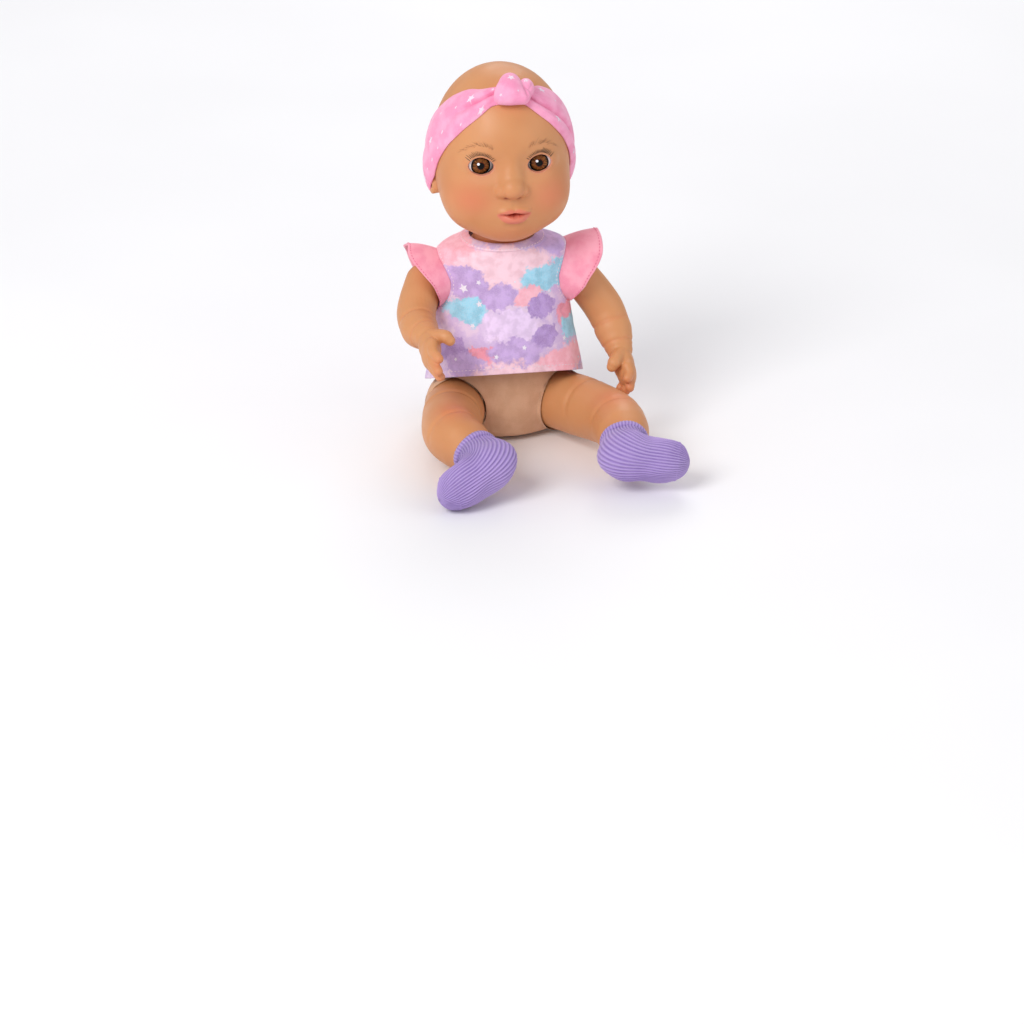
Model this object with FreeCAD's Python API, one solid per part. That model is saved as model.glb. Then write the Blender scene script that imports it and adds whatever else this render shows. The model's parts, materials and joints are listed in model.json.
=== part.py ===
import FreeCAD, Part
import math
import os

# Soft-bodied baby doll, seated, with a press-to-talk sound unit in the torso.
# Millimetres. +Z is up, the doll faces -Y and its own left side is +X.
# The origin is on the flat seat face, on the middle plane, under the hips' centre.

V = FreeCAD.Vector
os.makedirs("parts", exist_ok=True)

# ---------------------------------------------------------------- driving dimensions
SITTING_HEIGHT = 266.0
VINYL_WALL = 2.4
CLOTH_WALL = 1.2
LOOSE = 0.4            # free gap between a turning piece and what it turns in
PIN_GAP = 0.05         # radial gap of a pin or guide

HEAD_BASE = 149.5      # underside of the jaw
NECK_RADIUS = 19.5
NECK_STUB_RADIUS = 14.0
NECK_TOP_OF_BODY = 139.0

EYE_SPACING = 40.0
EYE_Y = -31.0
EYE_Z = 209.5
EYE_RADIUS = 9.5
EYE_OPENING = (8.9, 6.4)
IRIS_RADIUS = 6.4
EYE_PIN_RADIUS = 1.2

SHOULDER = V(54.0, 0.0, 112.0)
ARM_RADIUS = 14.5
ARM_STUB_RADIUS = 8.0
ARM_FLANGE_X = 31.0

HIP = V(32.0, -8.0, 24.0)
THIGH_RADIUS = 22.0
LEG_STUB_RADIUS = 7.0
CROTCH_HALF_WIDTH = 9.4

# sections of a lofted shape: height, half width, half depth, middle of the depth
HEAD_SECTIONS = [
    (HEAD_BASE, 17.0, 17.0, -12.0),
    (154.0, 26.5, 28.0, -12.5),
    (162.0, 35.0, 37.5, -8.5),
    (173.0, 41.0, 44.5, -4.0),
    (188.0, 45.0, 49.5, -0.5),
    (208.0, 46.5, 52.5, 1.5),
    (228.0, 45.0, 51.0, 2.0),
    (245.0, 38.0, 43.0, 2.0),
    (257.0, 26.5, 30.5, 2.0),
    (263.5, 14.0, 16.5, 2.0),
    (SITTING_HEIGHT, 4.0, 5.0, 2.0),
]
BODY_SECTIONS = [
    (0.0, 38.0, 27.0, 5.0),
    (5.0, 43.5, 33.0, 3.0),
    (24.0, 46.5, 37.0, 1.0),
    (50.0, 44.0, 34.5, 0.0),
    (75.0, 40.5, 31.0, 0.0),
    (100.0, 38.5, 28.5, 0.0),
    (120.0, 37.5, 25.5, 0.0),
    (132.0, 32.0, 22.5, -1.0),
    (NECK_TOP_OF_BODY, 24.0, 20.0, -2.0),
]
DRESS_SECTIONS = [
    (8.0, 63.5, 57.0, -1.0),
    (44.0, 58.5, 49.5, -1.0),
    (70.0, 53.0, 42.0, -1.0),
    (95.0, 48.3, 35.5, -0.5),
    (112.0, 47.0, 32.0, 0.0),
    (126.0, 46.8, 29.5, 0.0),
    (136.0, 41.5, 27.5, -1.0),
    (142.0, 32.0, 25.5, -2.0),
    (145.8, 25.5, 23.5, -3.0),
]
DRESS_WALL = 1.0
HEM_FRONT = (-51.0, 60.5)    # y and z where the hem crosses the middle plane in front
HEM_BACK = (47.0, 19.5)      # and behind
ARMHOLE_RADIUS = 18.0

# joints of the arms: shoulder, elbow, middle of the forearm, wrist, with limb radii
ARM_PATHS = {
    "right": [V(-54, 0, 112), V(-64.5, -20, 95), V(-64, -38, 91), V(-60.5, -56, 89)],
    "left": [V(54, 0, 112), V(72, -3, 86), V(77, -13, 73), V(80, -24, 62)],
}
ARM_RADII = [ARM_RADIUS - 1.0, 12.4, 12.6, 9.0]
HAND_TIPS = {"right": V(-57, -91, 78), "left": V(83, -49, 39)}
THUMB_TIPS = {"right": V(-43, -72, 93), "left": V(70, -44, 56)}

# joints of the legs: hip, middle of the thigh, knee, middle of the shin, ankle
LEG_PATHS = {
    "right": [V(-32, -8, 24), V(-41, -44, 27), V(-46, -76, 30), V(-38, -100, 29), V(-29, -120, 27)],
    "left": [V(32, -8, 24), V(53, -40, 27), V(67, -70, 30), V(70, -96, 29), V(67, -118, 27)],
}
LEG_RADII = [THIGH_RADIUS - 1.2, 20.3, 19.0, 17.5, 14.6]
TOE_AIMS = {"right": V(-0.78, -0.44, -0.40), "left": V(0.93, -0.32, -0.16)}
SOCK_WALL = 1.3

CASE_HALF_WIDTH = 23.0
CASE_Y = (-8.0, 5.4, 20.0)      # front face, joint line, rear face
CASE_POST_X = 18.5
BOARD_HALF_WIDTH = 15.0
BOARD_Y = 3.0
CASE_Z = (52.0, 98.0)
CASE_WALL = 1.6
BUTTON_Z = 85.0
BUTTON_TRAVEL = 1.8
SPEAKER_Z = 66.0
SPEAKER_RADIUS = 12.0
BATTERY_Z = 67.0
BATTERY_RADIUS = 5.8
BATTERY_LENGTH = 5.4
BATTERY_COUNT = 3
SWITCH_Z = 90.0

SIDES = {"right": -1, "left": 1}


# ---------------------------------------------------------------- shape helpers
def oval(half_x, half_y, middle_y, height):
    """A closed ellipse in a level plane, always with its seam on +X."""
    scale = FreeCAD.Matrix()
    scale.scale(half_x, half_y, 1.0)
    edge = Part.makeCircle(1.0).toNurbs().transformGeometry(scale)
    edge.translate(V(0, middle_y, height))
    return Part.Wire(edge.Edges)


def stack(sections, grow=0.0):
    """A solid with straight runs between level ovals, grown all round by a distance."""
    wires = []
    last = len(sections) - 1
    for i, (height, half_x, half_y, middle_y) in enumerate(sections):
        lift = grow if i == last else (-grow if i == 0 else 0.0)
        wires.append(oval(half_x + grow, half_y + grow, middle_y, height + lift))
    return Part.makeLoft(wires, True, True)


def box(x, y, z):
    """A box from three (low, high) pairs."""
    return Part.makeBox(x[1] - x[0], y[1] - y[0], z[1] - z[0], V(x[0], y[0], z[0]))


def rod(start, end, radius):
    """A cylinder between two points."""
    axis = end - start
    return Part.makeCylinder(radius, axis.Length, start, axis)


def ring(start, end, inner, outer):
    return rod(start, end, outer).cut(rod(start, end, inner))


def ball(centre, radius):
    return Part.makeSphere(radius, centre)


def frame_at(point, direction, across):
    """A placement with +Z along a direction and +X as near as it can be to another."""
    side = across - direction * across.dot(direction)
    turn = FreeCAD.Rotation(side, V(0, 0, 0), direction, "ZXY")
    return FreeCAD.Placement(point, turn)


def shaped(points, halves, across):
    """A solid with straight runs between ovals along a path, each square to the path."""
    wires = []
    for i, point in enumerate(points):
        before = points[max(i - 1, 0)]
        after = points[min(i + 1, len(points) - 1)]
        wire = oval(halves[i][0], halves[i][1], 0, 0)
        wire.Placement = frame_at(point, (after - before).normalize(), across)
        wires.append(wire)
    return Part.makeLoft(wires, True, True)


def egg(centre, along, across, radii):
    """A rounded pebble with its radii along, across and through the given directions."""
    axis = V(along).normalize()
    points = []
    halves = []
    for i in range(9):
        turn = math.radians(-82 + 164 * i / 8)
        points.append(centre + axis * (radii[0] * math.sin(turn) / math.sin(math.radians(82))))
        halves.append((radii[1] * math.cos(turn), radii[2] * math.cos(turn)))
    return shaped(points, halves, V(across))


def limb(points, radii):
    """A round limb along a path."""
    return shaped(points, [(r, r) for r in radii], V(1, 0, 0))


def under_line(a, b, reach=200.0):
    """Everything below the line through two (y, z) points, across the whole width."""
    slope = (b[1] - a[1]) / (b[0] - a[0])
    corners = [V(-reach, y, a[1] + slope * (y - a[0])) for y in (-reach, reach)]
    corners += [V(-reach, reach, -reach * 3), V(-reach, -reach, -reach * 3)]
    face = Part.Face(Part.makePolygon(corners + corners[:1]))
    return face.extrude(V(2 * reach, 0, 0))


def without(shape, cutters):
    for cutter in cutters:
        shape = shape.cut(cutter)
    return shape


def mirrored(shape):
    return shape.mirror(V(0, 0, 0), V(1, 0, 0))


def save(shape, name):
    shape.exportStep("parts/" + name + ".step")


# ---------------------------------------------------------------- head
def eye_centre(side):
    return V(SIDES[side] * EYE_SPACING / 2, EYE_Y, EYE_Z)


def head_shell():
    """Hollow vinyl head with its ears, eye openings and the stub that the cloth is tied to."""
    neck_low = V(0, -2, NECK_TOP_OF_BODY + 1.5)
    outer = stack(HEAD_SECTIONS).fuse(rod(neck_low, V(0, -2, 165), NECK_RADIUS))
    for sign in (-1, 1):
        outer = outer.fuse(egg(V(sign * 45.5, 6, 184), V(0, 0.2, 1), V(0, 1, 0), (11.0, 6.5, 3.6)))
    inner = stack(HEAD_SECTIONS, -VINYL_WALL)
    inner = inner.fuse(rod(V(0, -2, neck_low.z + VINYL_WALL), V(0, -2, 165), NECK_RADIUS - VINYL_WALL))
    shell = outer.cut(inner)
    for side in SIDES:
        opening = oval(EYE_OPENING[0], EYE_OPENING[1], 0, 0)
        opening.rotate(V(0, 0, 0), V(1, 0, 0), 90)
        opening.translate(eye_centre(side) + V(0, -40, 0))
        shell = shell.cut(Part.Face(opening).extrude(V(0, 38, 0)))
    stub = rod(V(0, -2, 125), V(0, -2, neck_low.z + 1), NECK_STUB_RADIUS)
    flange = rod(V(0, -2, 125), V(0, -2, 127.5), 18.0)
    return shell.fuse(stub).fuse(flange)


def eye_pieces(side):
    """Eyeball on its pins, iris lens, painted lid and the weight that opens and closes it."""
    c = eye_centre(side)
    pins = rod(c - V(EYE_RADIUS + 2.2, 0, 0), c + V(EYE_RADIUS + 2.2, 0, 0), EYE_PIN_RADIUS)
    stem_end = c + V(0, 0.6, -0.8) * 14.0
    globe = ball(c, EYE_RADIUS)
    eyeball = globe.fuse(pins).fuse(rod(c, stem_end, 1.3))
    iris = ball(c, EYE_RADIUS + 0.35).common(rod(c + V(0, -12, 0), c, IRIS_RADIUS)).cut(globe)
    lid = ball(c, EYE_RADIUS + 0.3).cut(globe)
    lid = lid.common(box((c.x - 12, c.x + 12), (c.y - 12, c.y + 12), (c.z + IRIS_RADIUS + 0.3, c.z + 12)))
    weight = rod(stem_end - V(5, 0, 0), stem_end + V(5, 0, 0), 3.6).cut(eyeball)
    save(eyeball, "eyeball_" + side)
    save(iris, "iris_lens_" + side)
    save(lid, "eyelid_" + side)
    save(weight, "eye_weight_" + side)
    holder = ring(c + V(0, -3.0, 0), c + V(0, 3.0, 0), EYE_RADIUS + LOOSE, EYE_RADIUS + 1.3)
    reach = V(EYE_RADIUS + 3, 0, 0)
    save(holder.cut(rod(c - reach, c + reach, EYE_PIN_RADIUS + PIN_GAP)), "eye_holder_" + side)


def headband():
    """Jersey band round the head, narrow at the front knot, wide at the sides, down to the nape."""
    layer = stack(HEAD_SECTIONS, 2.6).cut(stack(HEAD_SECTIONS, 0.3))
    below_top_edge = under_line((-23, 260.5), (17, 233))
    below_low_edge = under_line((-34, 244), (-1, 186))
    band = layer.common(below_top_edge).cut(below_low_edge)
    band = band.common(box((-80, 80), (-80, 80), (168, 290)))
    for sign in (-1, 1):
        band = band.cut(egg(V(sign * 45.5, 6, 184), V(0, 0.2, 1), V(0, 1, 0), (11.4, 6.9, 4.0)))
    knot = egg(V(3, -31, 257.8), V(1, 0, 0), V(0, 0.83, 0.55), (14.5, 9.5, 8.0))
    knot = knot.cut(stack(HEAD_SECTIONS, 2.7))
    save(band, "headband")
    save(knot, "headband_knot")


# ---------------------------------------------------------------- limbs
def arm(side):
    """Hollow vinyl arm with its hand, and a flanged stub along the shoulder's axis."""
    points = ARM_PATHS[side]
    solid = limb(points, ARM_RADII).fuse(ball(points[0], ARM_RADIUS))
    wrist = points[-1]
    reach = HAND_TIPS[side] - wrist
    middle = wrist + reach * 0.48
    palm_width = (THUMB_TIPS[side] - wrist).cross(reach).cross(reach)
    solid = solid.fuse(egg(middle, reach, palm_width, (reach.Length * 0.53, 12.0, 7.6)))
    start = wrist + reach * 0.3
    thumb_tip = THUMB_TIPS[side]
    thumb = thumb_tip - start
    solid = solid.fuse(egg(start + thumb * 0.55, thumb, palm_width, (thumb.Length * 0.58, 4.6, 4.3)))
    hollow = points[:-1] + [wrist + (points[-2] - wrist) * 0.4]
    shell = solid.cut(limb(hollow, [r - VINYL_WALL for r in ARM_RADII[:-1]] + [7.0]))
    sign = SIDES[side]
    root = V(sign * (SHOULDER.x - ARM_RADIUS + 1.0), 0, SHOULDER.z)
    tip = V(sign * ARM_FLANGE_X, 0, SHOULDER.z)
    shell = shell.fuse(rod(tip, root, ARM_STUB_RADIUS))
    return shell.fuse(rod(tip, tip + V(sign * 2.0, 0, 0), ARM_STUB_RADIUS + 3.0))


def foot_parts(side, grow):
    """The foot: a long sole piece aimed outwards and a rounder heel."""
    ankle = LEG_PATHS[side][-1]
    shin = (ankle - LEG_PATHS[side][-2]).normalize()
    toe = V(TOE_AIMS[side]).normalize()
    sole = egg(ankle + shin * 7.0 + toe * 14.0, toe, shin.cross(toe),
               (29.0 + grow, 15.0 + grow, 12.5 + grow))
    heel = egg(ankle + shin * 4.0, shin, toe, (16.4 + grow, 16.4 + grow, 16.4 + grow))
    return sole, heel


def leg(side):
    """Hollow vinyl leg with its foot, and a flanged stub along the hip's axis."""
    points = LEG_PATHS[side]
    solid = limb(points, LEG_RADII).fuse(ball(points[0], THIGH_RADIUS))
    for piece in foot_parts(side, 0.0):
        solid = solid.fuse(piece)
    shell = solid.cut(limb(points, [r - VINYL_WALL for r in LEG_RADII]))
    sign = SIDES[side]
    root = V(sign * (HIP.x - THIGH_RADIUS + 1.0), HIP.y, HIP.z)
    tip = V(sign * 4.0, HIP.y, HIP.z)
    shell = shell.fuse(rod(tip, root, LEG_STUB_RADIUS))
    return shell.fuse(rod(tip, tip + V(sign * 1.8, 0, 0), LEG_STUB_RADIUS + 2.5))


def sock(side):
    """Knitted sock over the foot, with its rolled cuff as a ring at the ankle."""
    ankle = LEG_PATHS[side][-1]
    before = LEG_PATHS[side][-2]
    shin = (ankle - before).normalize()
    cuff_at = ankle - shin * 9.0
    outer = limb([cuff_at, ankle - shin * 2.0, ankle + shin * 5.0],
                 [17.3 + SOCK_WALL, 16.6 + SOCK_WALL, 12.0])
    for piece in foot_parts(side, SOCK_WALL):
        outer = outer.fuse(piece)
    shin_core = limb(LEG_PATHS[side], [r + 0.1 for r in LEG_RADII])
    save(without(outer, [shin_core] + list(foot_parts(side, 0.1))), "sock_" + side)
    cuff = Part.makeTorus(18.4, 1.5, cuff_at - shin * 1.6, shin)
    save(cuff.cut(shin_core), "sock_cuff_" + side)


# ---------------------------------------------------------------- torso
def leg_space(gap):
    """Room in the lower front of the torso for the thighs over their whole swing."""
    radius = THIGH_RADIUS + gap
    inside = CROTCH_HALF_WIDTH - (gap - LOOSE)
    rooms = []
    for sign in (-1, 1):
        front, back, top, low = -90.0, HIP.y + radius, HIP.z + radius, -10.0
        bend = V(0, HIP.y + radius * math.cos(math.pi / 4), HIP.z + radius * math.sin(math.pi / 4))
        edges = [
            Part.LineSegment(V(0, back, low), V(0, back, HIP.z)).toShape(),
            Part.Arc(V(0, back, HIP.z), bend, V(0, HIP.y, top)).toShape(),
            Part.LineSegment(V(0, HIP.y, top), V(0, front, top)).toShape(),
            Part.LineSegment(V(0, front, top), V(0, front, low)).toShape(),
            Part.LineSegment(V(0, front, low), V(0, back, low)).toShape(),
        ]
        face = Part.Face(Part.Wire(edges))
        face.translate(V(sign * inside, 0, 0))
        rooms.append(face.extrude(V(sign * 80.0, 0, 0)))
    return rooms


def stub_bores(extra):
    """Bores for the five limb and neck stubs."""
    bores = [rod(V(0, -2, 120), V(0, -2, 150), NECK_STUB_RADIUS + extra)]
    for sign in (-1, 1):
        bores.append(rod(V(sign * 30, 0, SHOULDER.z), V(sign * 50, 0, SHOULDER.z), ARM_STUB_RADIUS + extra))
    bores.append(rod(V(-12, HIP.y, HIP.z), V(12, HIP.y, HIP.z), LEG_STUB_RADIUS + extra))
    return bores


def case_box(grow):
    return box((-CASE_HALF_WIDTH - grow, CASE_HALF_WIDTH + grow),
               (CASE_Y[0] - grow, CASE_Y[2] + grow), (CASE_Z[0] - grow, CASE_Z[1] + grow))


def torso_cloth():
    """Sewn cloth skin of the body, with a slit behind the sound unit."""
    outer = without(stack(BODY_SECTIONS), leg_space(LOOSE))
    inner = without(stack(BODY_SECTIONS, -CLOTH_WALL), leg_space(LOOSE + CLOTH_WALL))
    slit = box((-22, 22), (20, 45), (74, 76.5))
    return without(outer.cut(inner), stub_bores(LOOSE) + [slit])


def stuffing():
    """Polyester filling, with pockets for the sound unit, the button and the flanges."""
    filling = without(stack(BODY_SECTIONS, -CLOTH_WALL - 0.1), leg_space(LOOSE + CLOTH_WALL + 0.1))
    filling = filling.cut(case_box(0.3)).cut(box((-23, 23), (15, 45), (64, 86)))
    filling = filling.cut(box((-5, 5), (CASE_Y[2] - 1, CASE_Y[2] + 2.2), (SWITCH_Z - 3, SWITCH_Z + 3)))
    filling = filling.cut(rod(V(0, -40, BUTTON_Z), V(0, 0, BUTTON_Z), 11.0))
    filling = filling.cut(rod(V(0, -2, 123), V(0, -2, 150), 18.8))
    for sign in (-1, 1):
        filling = filling.cut(rod(V(sign * 29.5, 0, SHOULDER.z), V(sign * 50, 0, SHOULDER.z),
                                  ARM_STUB_RADIUS + 3.8))
    return filling.cut(rod(V(-12, HIP.y, HIP.z), V(12, HIP.y, HIP.z), LEG_STUB_RADIUS + 3.3))


def ties():
    """Cinch ties that draw the cloth in round each stub."""
    save(ring(V(0, -2, 129), V(0, -2, 132), NECK_STUB_RADIUS + LOOSE, NECK_STUB_RADIUS + 2.6), "neck_tie")
    for side, sign in SIDES.items():
        a = V(sign * 33.8, 0, SHOULDER.z)
        save(ring(a, a + V(sign * 2.4, 0, 0), ARM_STUB_RADIUS + LOOSE, ARM_STUB_RADIUS + 2.2),
             "arm_tie_" + side)
        b = V(sign * 6.2, HIP.y, HIP.z)
        save(ring(b, b + V(sign * 1.4, 0, 0), LEG_STUB_RADIUS + LOOSE, LEG_STUB_RADIUS + 2.0),
             "leg_tie_" + side)


def torso_closure():
    """Hook-and-loop strips behind the slit of the cloth skin."""
    layers = [(-CLOTH_WALL - 0.15, -2.1), (-2.2, -3.1)]
    for name, (near, far) in zip(("body_closure_loop", "body_closure_hook"), layers):
        layer = stack(BODY_SECTIONS, near).cut(stack(BODY_SECTIONS, far))
        save(layer.common(box((-22, 22), (15, 45), (69, 81.5))), name)


# ---------------------------------------------------------------- sound unit
def sound_case():
    """Two shells of the sound unit's case, split across its depth."""
    w = CASE_WALL
    hollow = box((-CASE_HALF_WIDTH + w, CASE_HALF_WIDTH - w), (CASE_Y[0] + w, CASE_Y[2] - w),
                 (CASE_Z[0] + w, CASE_Z[1] - w))
    solid = case_box(0.0)
    rounded = solid.makeFillet(3.0, [e for e in solid.Edges if abs(e.tangentAt(0).y) > 0.9])
    shell = rounded.cut(hollow)
    wide = CASE_HALF_WIDTH + 5
    front = shell.common(box((-wide, wide), (CASE_Y[0] - 9, CASE_Y[1]), (0, 140)))
    rear = shell.common(box((-wide, wide), (CASE_Y[1] + 0.05, CASE_Y[2] + 5), (0, 140)))
    # guide for the button's stem, and sound holes in front of the speaker
    front = front.fuse(ring(V(0, CASE_Y[0] - 4, BUTTON_Z), V(0, CASE_Y[0] + 0.5, BUTTON_Z), 3.05, 5.0))
    front = front.cut(rod(V(0, CASE_Y[0] - 9, BUTTON_Z), V(0, CASE_Y[0] + 3, BUTTON_Z), 3.0 + PIN_GAP))
    for i in range(8):
        turn = math.radians(45 * i)
        hole = V(7 * math.cos(turn), CASE_Y[0] - 2, SPEAKER_Z + 7 * math.sin(turn))
        front = front.cut(rod(hole, hole + V(0, 5, 0), 1.3))
    # four screw posts, battery opening and switch slot in the rear shell
    screws = []
    for x in (-CASE_POST_X, CASE_POST_X):
        for z in (CASE_Z[0] + 5.5, CASE_Z[1] - 5.5):
            rear = rear.fuse(rod(V(x, CASE_Y[1] + 0.05, z), V(x, CASE_Y[2] - 1, z), 3.2))
            rear = rear.cut(rod(V(x, CASE_Y[1] - 1, z), V(x, CASE_Y[2] + 1, z), 1.3))
            rear = rear.cut(rod(V(x, CASE_Y[2] - 1.8, z), V(x, CASE_Y[2] + 1, z), 2.4))
            front = front.fuse(rod(V(x, CASE_Y[0] + 1, z), V(x, CASE_Y[1], z), 3.2))
            front = front.cut(rod(V(x, CASE_Y[1] - 8, z), V(x, CASE_Y[1] + 1, z), 1.3))
            shank = rod(V(x, CASE_Y[1] - 7, z), V(x, CASE_Y[2] - 1.7, z), 1.25)
            head = rod(V(x, CASE_Y[2] - 1.7, z), V(x, CASE_Y[2] - 0.2, z), 2.3)
            screws.append(shank.fuse(head))
    rear = rear.cut(box((-12, 12), (CASE_Y[2] - 4, CASE_Y[2] + 4), (BATTERY_Z - 8, BATTERY_Z + 8)))
    rear = rear.cut(box((-4.2, 4.2), (CASE_Y[2] - 4, CASE_Y[2] + 4), (SWITCH_Z - 1.6, SWITCH_Z + 1.6)))
    save(front, "sound_case_front")
    save(rear, "sound_case_rear")
    save(Part.makeCompound(screws), "case_screws")
    door = box((-11.7, 11.7), (CASE_Y[2] - CASE_WALL, CASE_Y[2] - 0.1), (BATTERY_Z - 7.7, BATTERY_Z + 7.7))
    door_hole = V(0, CASE_Y[2] - 3, BATTERY_Z - 6.0)
    save(door.cut(rod(door_hole, door_hole + V(0, 4, 0), 1.1)), "battery_door")
    save(rod(door_hole + V(0, 0.8, 0), door_hole + V(0, 2.9, 0), 1.0), "battery_door_screw")


def batteries():
    """Button cells in a row, with a spring contact and a plate contact at the ends."""
    length = BATTERY_COUNT * BATTERY_LENGTH
    cells = []
    y = CASE_Y[2] - CASE_WALL - 0.3 - BATTERY_RADIUS
    for i in range(BATTERY_COUNT):
        x = -length / 2 + i * BATTERY_LENGTH
        start = V(x + 0.05, y, BATTERY_Z)
        cells.append(rod(start, start + V(BATTERY_LENGTH - 0.1, 0, 0), BATTERY_RADIUS))
    save(Part.makeCompound(cells), "battery_cells")
    contacts = []
    for sign in (-1, 1):
        x = sorted((sign * (length / 2 + 0.1), sign * (length / 2 + 0.5)))
        contacts.append(box(x, (y - 4, y + 4), (BATTERY_Z - 4, BATTERY_Z + 4)))
    save(Part.makeCompound(contacts), "battery_contacts")


def electronics():
    """Circuit board with its sound chip, push switch, slide switch and small speaker."""
    board_z = (CASE_Z[0] + 3, CASE_Z[1] - 3)
    board = box((-BOARD_HALF_WIDTH, BOARD_HALF_WIDTH), (BOARD_Y, BOARD_Y + 1.2), board_z)
    save(board, "circuit_board")
    save(box((-6, 6), (BOARD_Y + 1.25, BOARD_Y + 2.9), (78, 87)), "sound_chip")
    tact = box((-3, 3), (BOARD_Y - 2.9, BOARD_Y - 0.05), (BUTTON_Z - 3, BUTTON_Z + 3))
    tact = tact.fuse(rod(V(0, BOARD_Y - 3.6, BUTTON_Z), V(0, BOARD_Y - 2.8, BUTTON_Z), 1.6))
    save(tact, "push_switch")
    y = CASE_Y[0] + CASE_WALL + 0.1
    save(ring(V(0, y, SPEAKER_Z), V(0, y + 2.4, SPEAKER_Z), SPEAKER_RADIUS - 1.6, SPEAKER_RADIUS),
         "speaker_frame")
    cone = Part.makeCone(SPEAKER_RADIUS - 1.8, 4.0, 2.0, V(0, y + 0.3, SPEAKER_Z), V(0, 1, 0))
    cone = cone.cut(Part.makeCone(SPEAKER_RADIUS - 2.6, 3.2, 1.9, V(0, y + 0.25, SPEAKER_Z), V(0, 1, 0)))
    save(cone, "speaker_cone")
    save(rod(V(0, y + 2.5, SPEAKER_Z), V(0, y + 6.0, SPEAKER_Z), 6.5), "speaker_magnet")
    base_y = CASE_Y[2] - CASE_WALL - 0.1
    save(box((-6, 6), (base_y - 3.4, base_y - 1.6), (SWITCH_Z - 3, SWITCH_Z + 3)), "slide_switch_base")
    knob = box((-2.6, -0.2), (base_y - 1.5, CASE_Y[2] + 1.4), (SWITCH_Z - 1.25, SWITCH_Z + 1.25))
    knob = knob.fuse(box((-4.0, 1.2), (base_y - 1.5, base_y - 0.1), (SWITCH_Z - 2.4, SWITCH_Z + 2.4)))
    save(knob, "slide_switch_knob")


def press_button():
    """Chest button that is pressed through the clothes, with its return spring."""
    disc = rod(V(0, -27.0, BUTTON_Z), V(0, -20.0, BUTTON_Z), 9.5)
    pocket_floor = -24.5
    pocket = ring(V(0, pocket_floor, BUTTON_Z), V(0, -19.0, BUTTON_Z), 5.0, 8.0)
    stem = rod(V(0, -22.0, BUTTON_Z), V(0, BOARD_Y - 5.8, BUTTON_Z), 3.0)
    button = disc.cut(pocket).fuse(stem)
    crown = Part.makeSphere(40.0, V(0, 12.0, BUTTON_Z))
    save(button.common(crown.fuse(box((-4, 4), (-20, 4), (BUTTON_Z - 4, BUTTON_Z + 4)))), "press_button")
    spring_front = pocket_floor + BUTTON_TRAVEL + 0.8
    save(coil(V(0, spring_front, BUTTON_Z), CASE_Y[0] - 0.6 - spring_front, 6.5, 3.0, 0.4), "button_spring")


def coil(start, length, radius, pitch, wire_radius):
    """A round-wire compression spring along +Y, built from short straight runs of wire."""
    steps = 16
    points = []
    for i in range(int(length / pitch * steps) + 1):
        turn = 2 * math.pi * i / steps
        points.append(start + V(radius * math.cos(turn), pitch * i / steps, radius * math.sin(turn)))
    wires = []
    for i, point in enumerate(points):
        before = points[max(i - 1, 0)]
        after = points[min(i + 1, len(points) - 1)]
        around = []
        for k in range(8):
            turn = 2 * math.pi * k / 8
            around.append(V(wire_radius * math.cos(turn), wire_radius * math.sin(turn), 0))
        outline = Part.makePolygon(around + around[:1])
        outward = V(point.x - start.x, 0, point.z - start.z)
        outline.Placement = frame_at(point, (after - before).normalize(), outward)
        wires.append(outline)
    return Part.makeLoft(wires, True, True)


# ---------------------------------------------------------------- dress
def dress():
    """A-line dress: one thin layer with armholes, a bound neck and a closure behind."""
    top = DRESS_SECTIONS[-1][0]
    inside = stack(DRESS_SECTIONS, -DRESS_WALL)
    inside = inside.fuse(oval_prism(DRESS_SECTIONS[0], -DRESS_WALL, -6.0))
    inside = inside.fuse(oval_prism(DRESS_SECTIONS[-1], -DRESS_WALL, 6.0))
    layer = stack(DRESS_SECTIONS).cut(inside).cut(under_line(HEM_FRONT, HEM_BACK))
    for sign in (-1, 1):
        x = sorted((sign * 30.0, sign * 80.0))
        layer = layer.cut(rod(V(x[0], 0, SHOULDER.z), V(x[1], 0, SHOULDER.z), ARMHOLE_RADIUS))
    save(layer, "dress")
    section = DRESS_SECTIONS[-1]
    binding = prism(section, 0.9, top + 0.1, top + 2.6).cut(prism(section, -1.1, top - 1, top + 4))
    save(binding, "neck_binding")
    outer_skin = stack(DRESS_SECTIONS, -DRESS_WALL - 0.15)
    strip = outer_skin.cut(stack(DRESS_SECTIONS, -DRESS_WALL - 0.95))
    save(strip.common(box((-6, 6), (15, 60), (95, 138))), "dress_closure_loop")
    strip = stack(DRESS_SECTIONS, -DRESS_WALL - 1.0).cut(stack(DRESS_SECTIONS, -DRESS_WALL - 1.8))
    save(strip.common(box((-6, 6), (15, 60), (95, 138))), "dress_closure_hook")


def prism(section, grow, low, high):
    """An upright prism on a section's oval."""
    wire = oval(section[1] + grow, section[2] + grow, section[3], low)
    return Part.Face(wire).extrude(V(0, 0, high - low))


def oval_prism(section, grow, rise):
    low = min(section[0], section[0] + rise) - 1.5
    return prism(section, grow, low, low + abs(rise) + 3.0)


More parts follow.
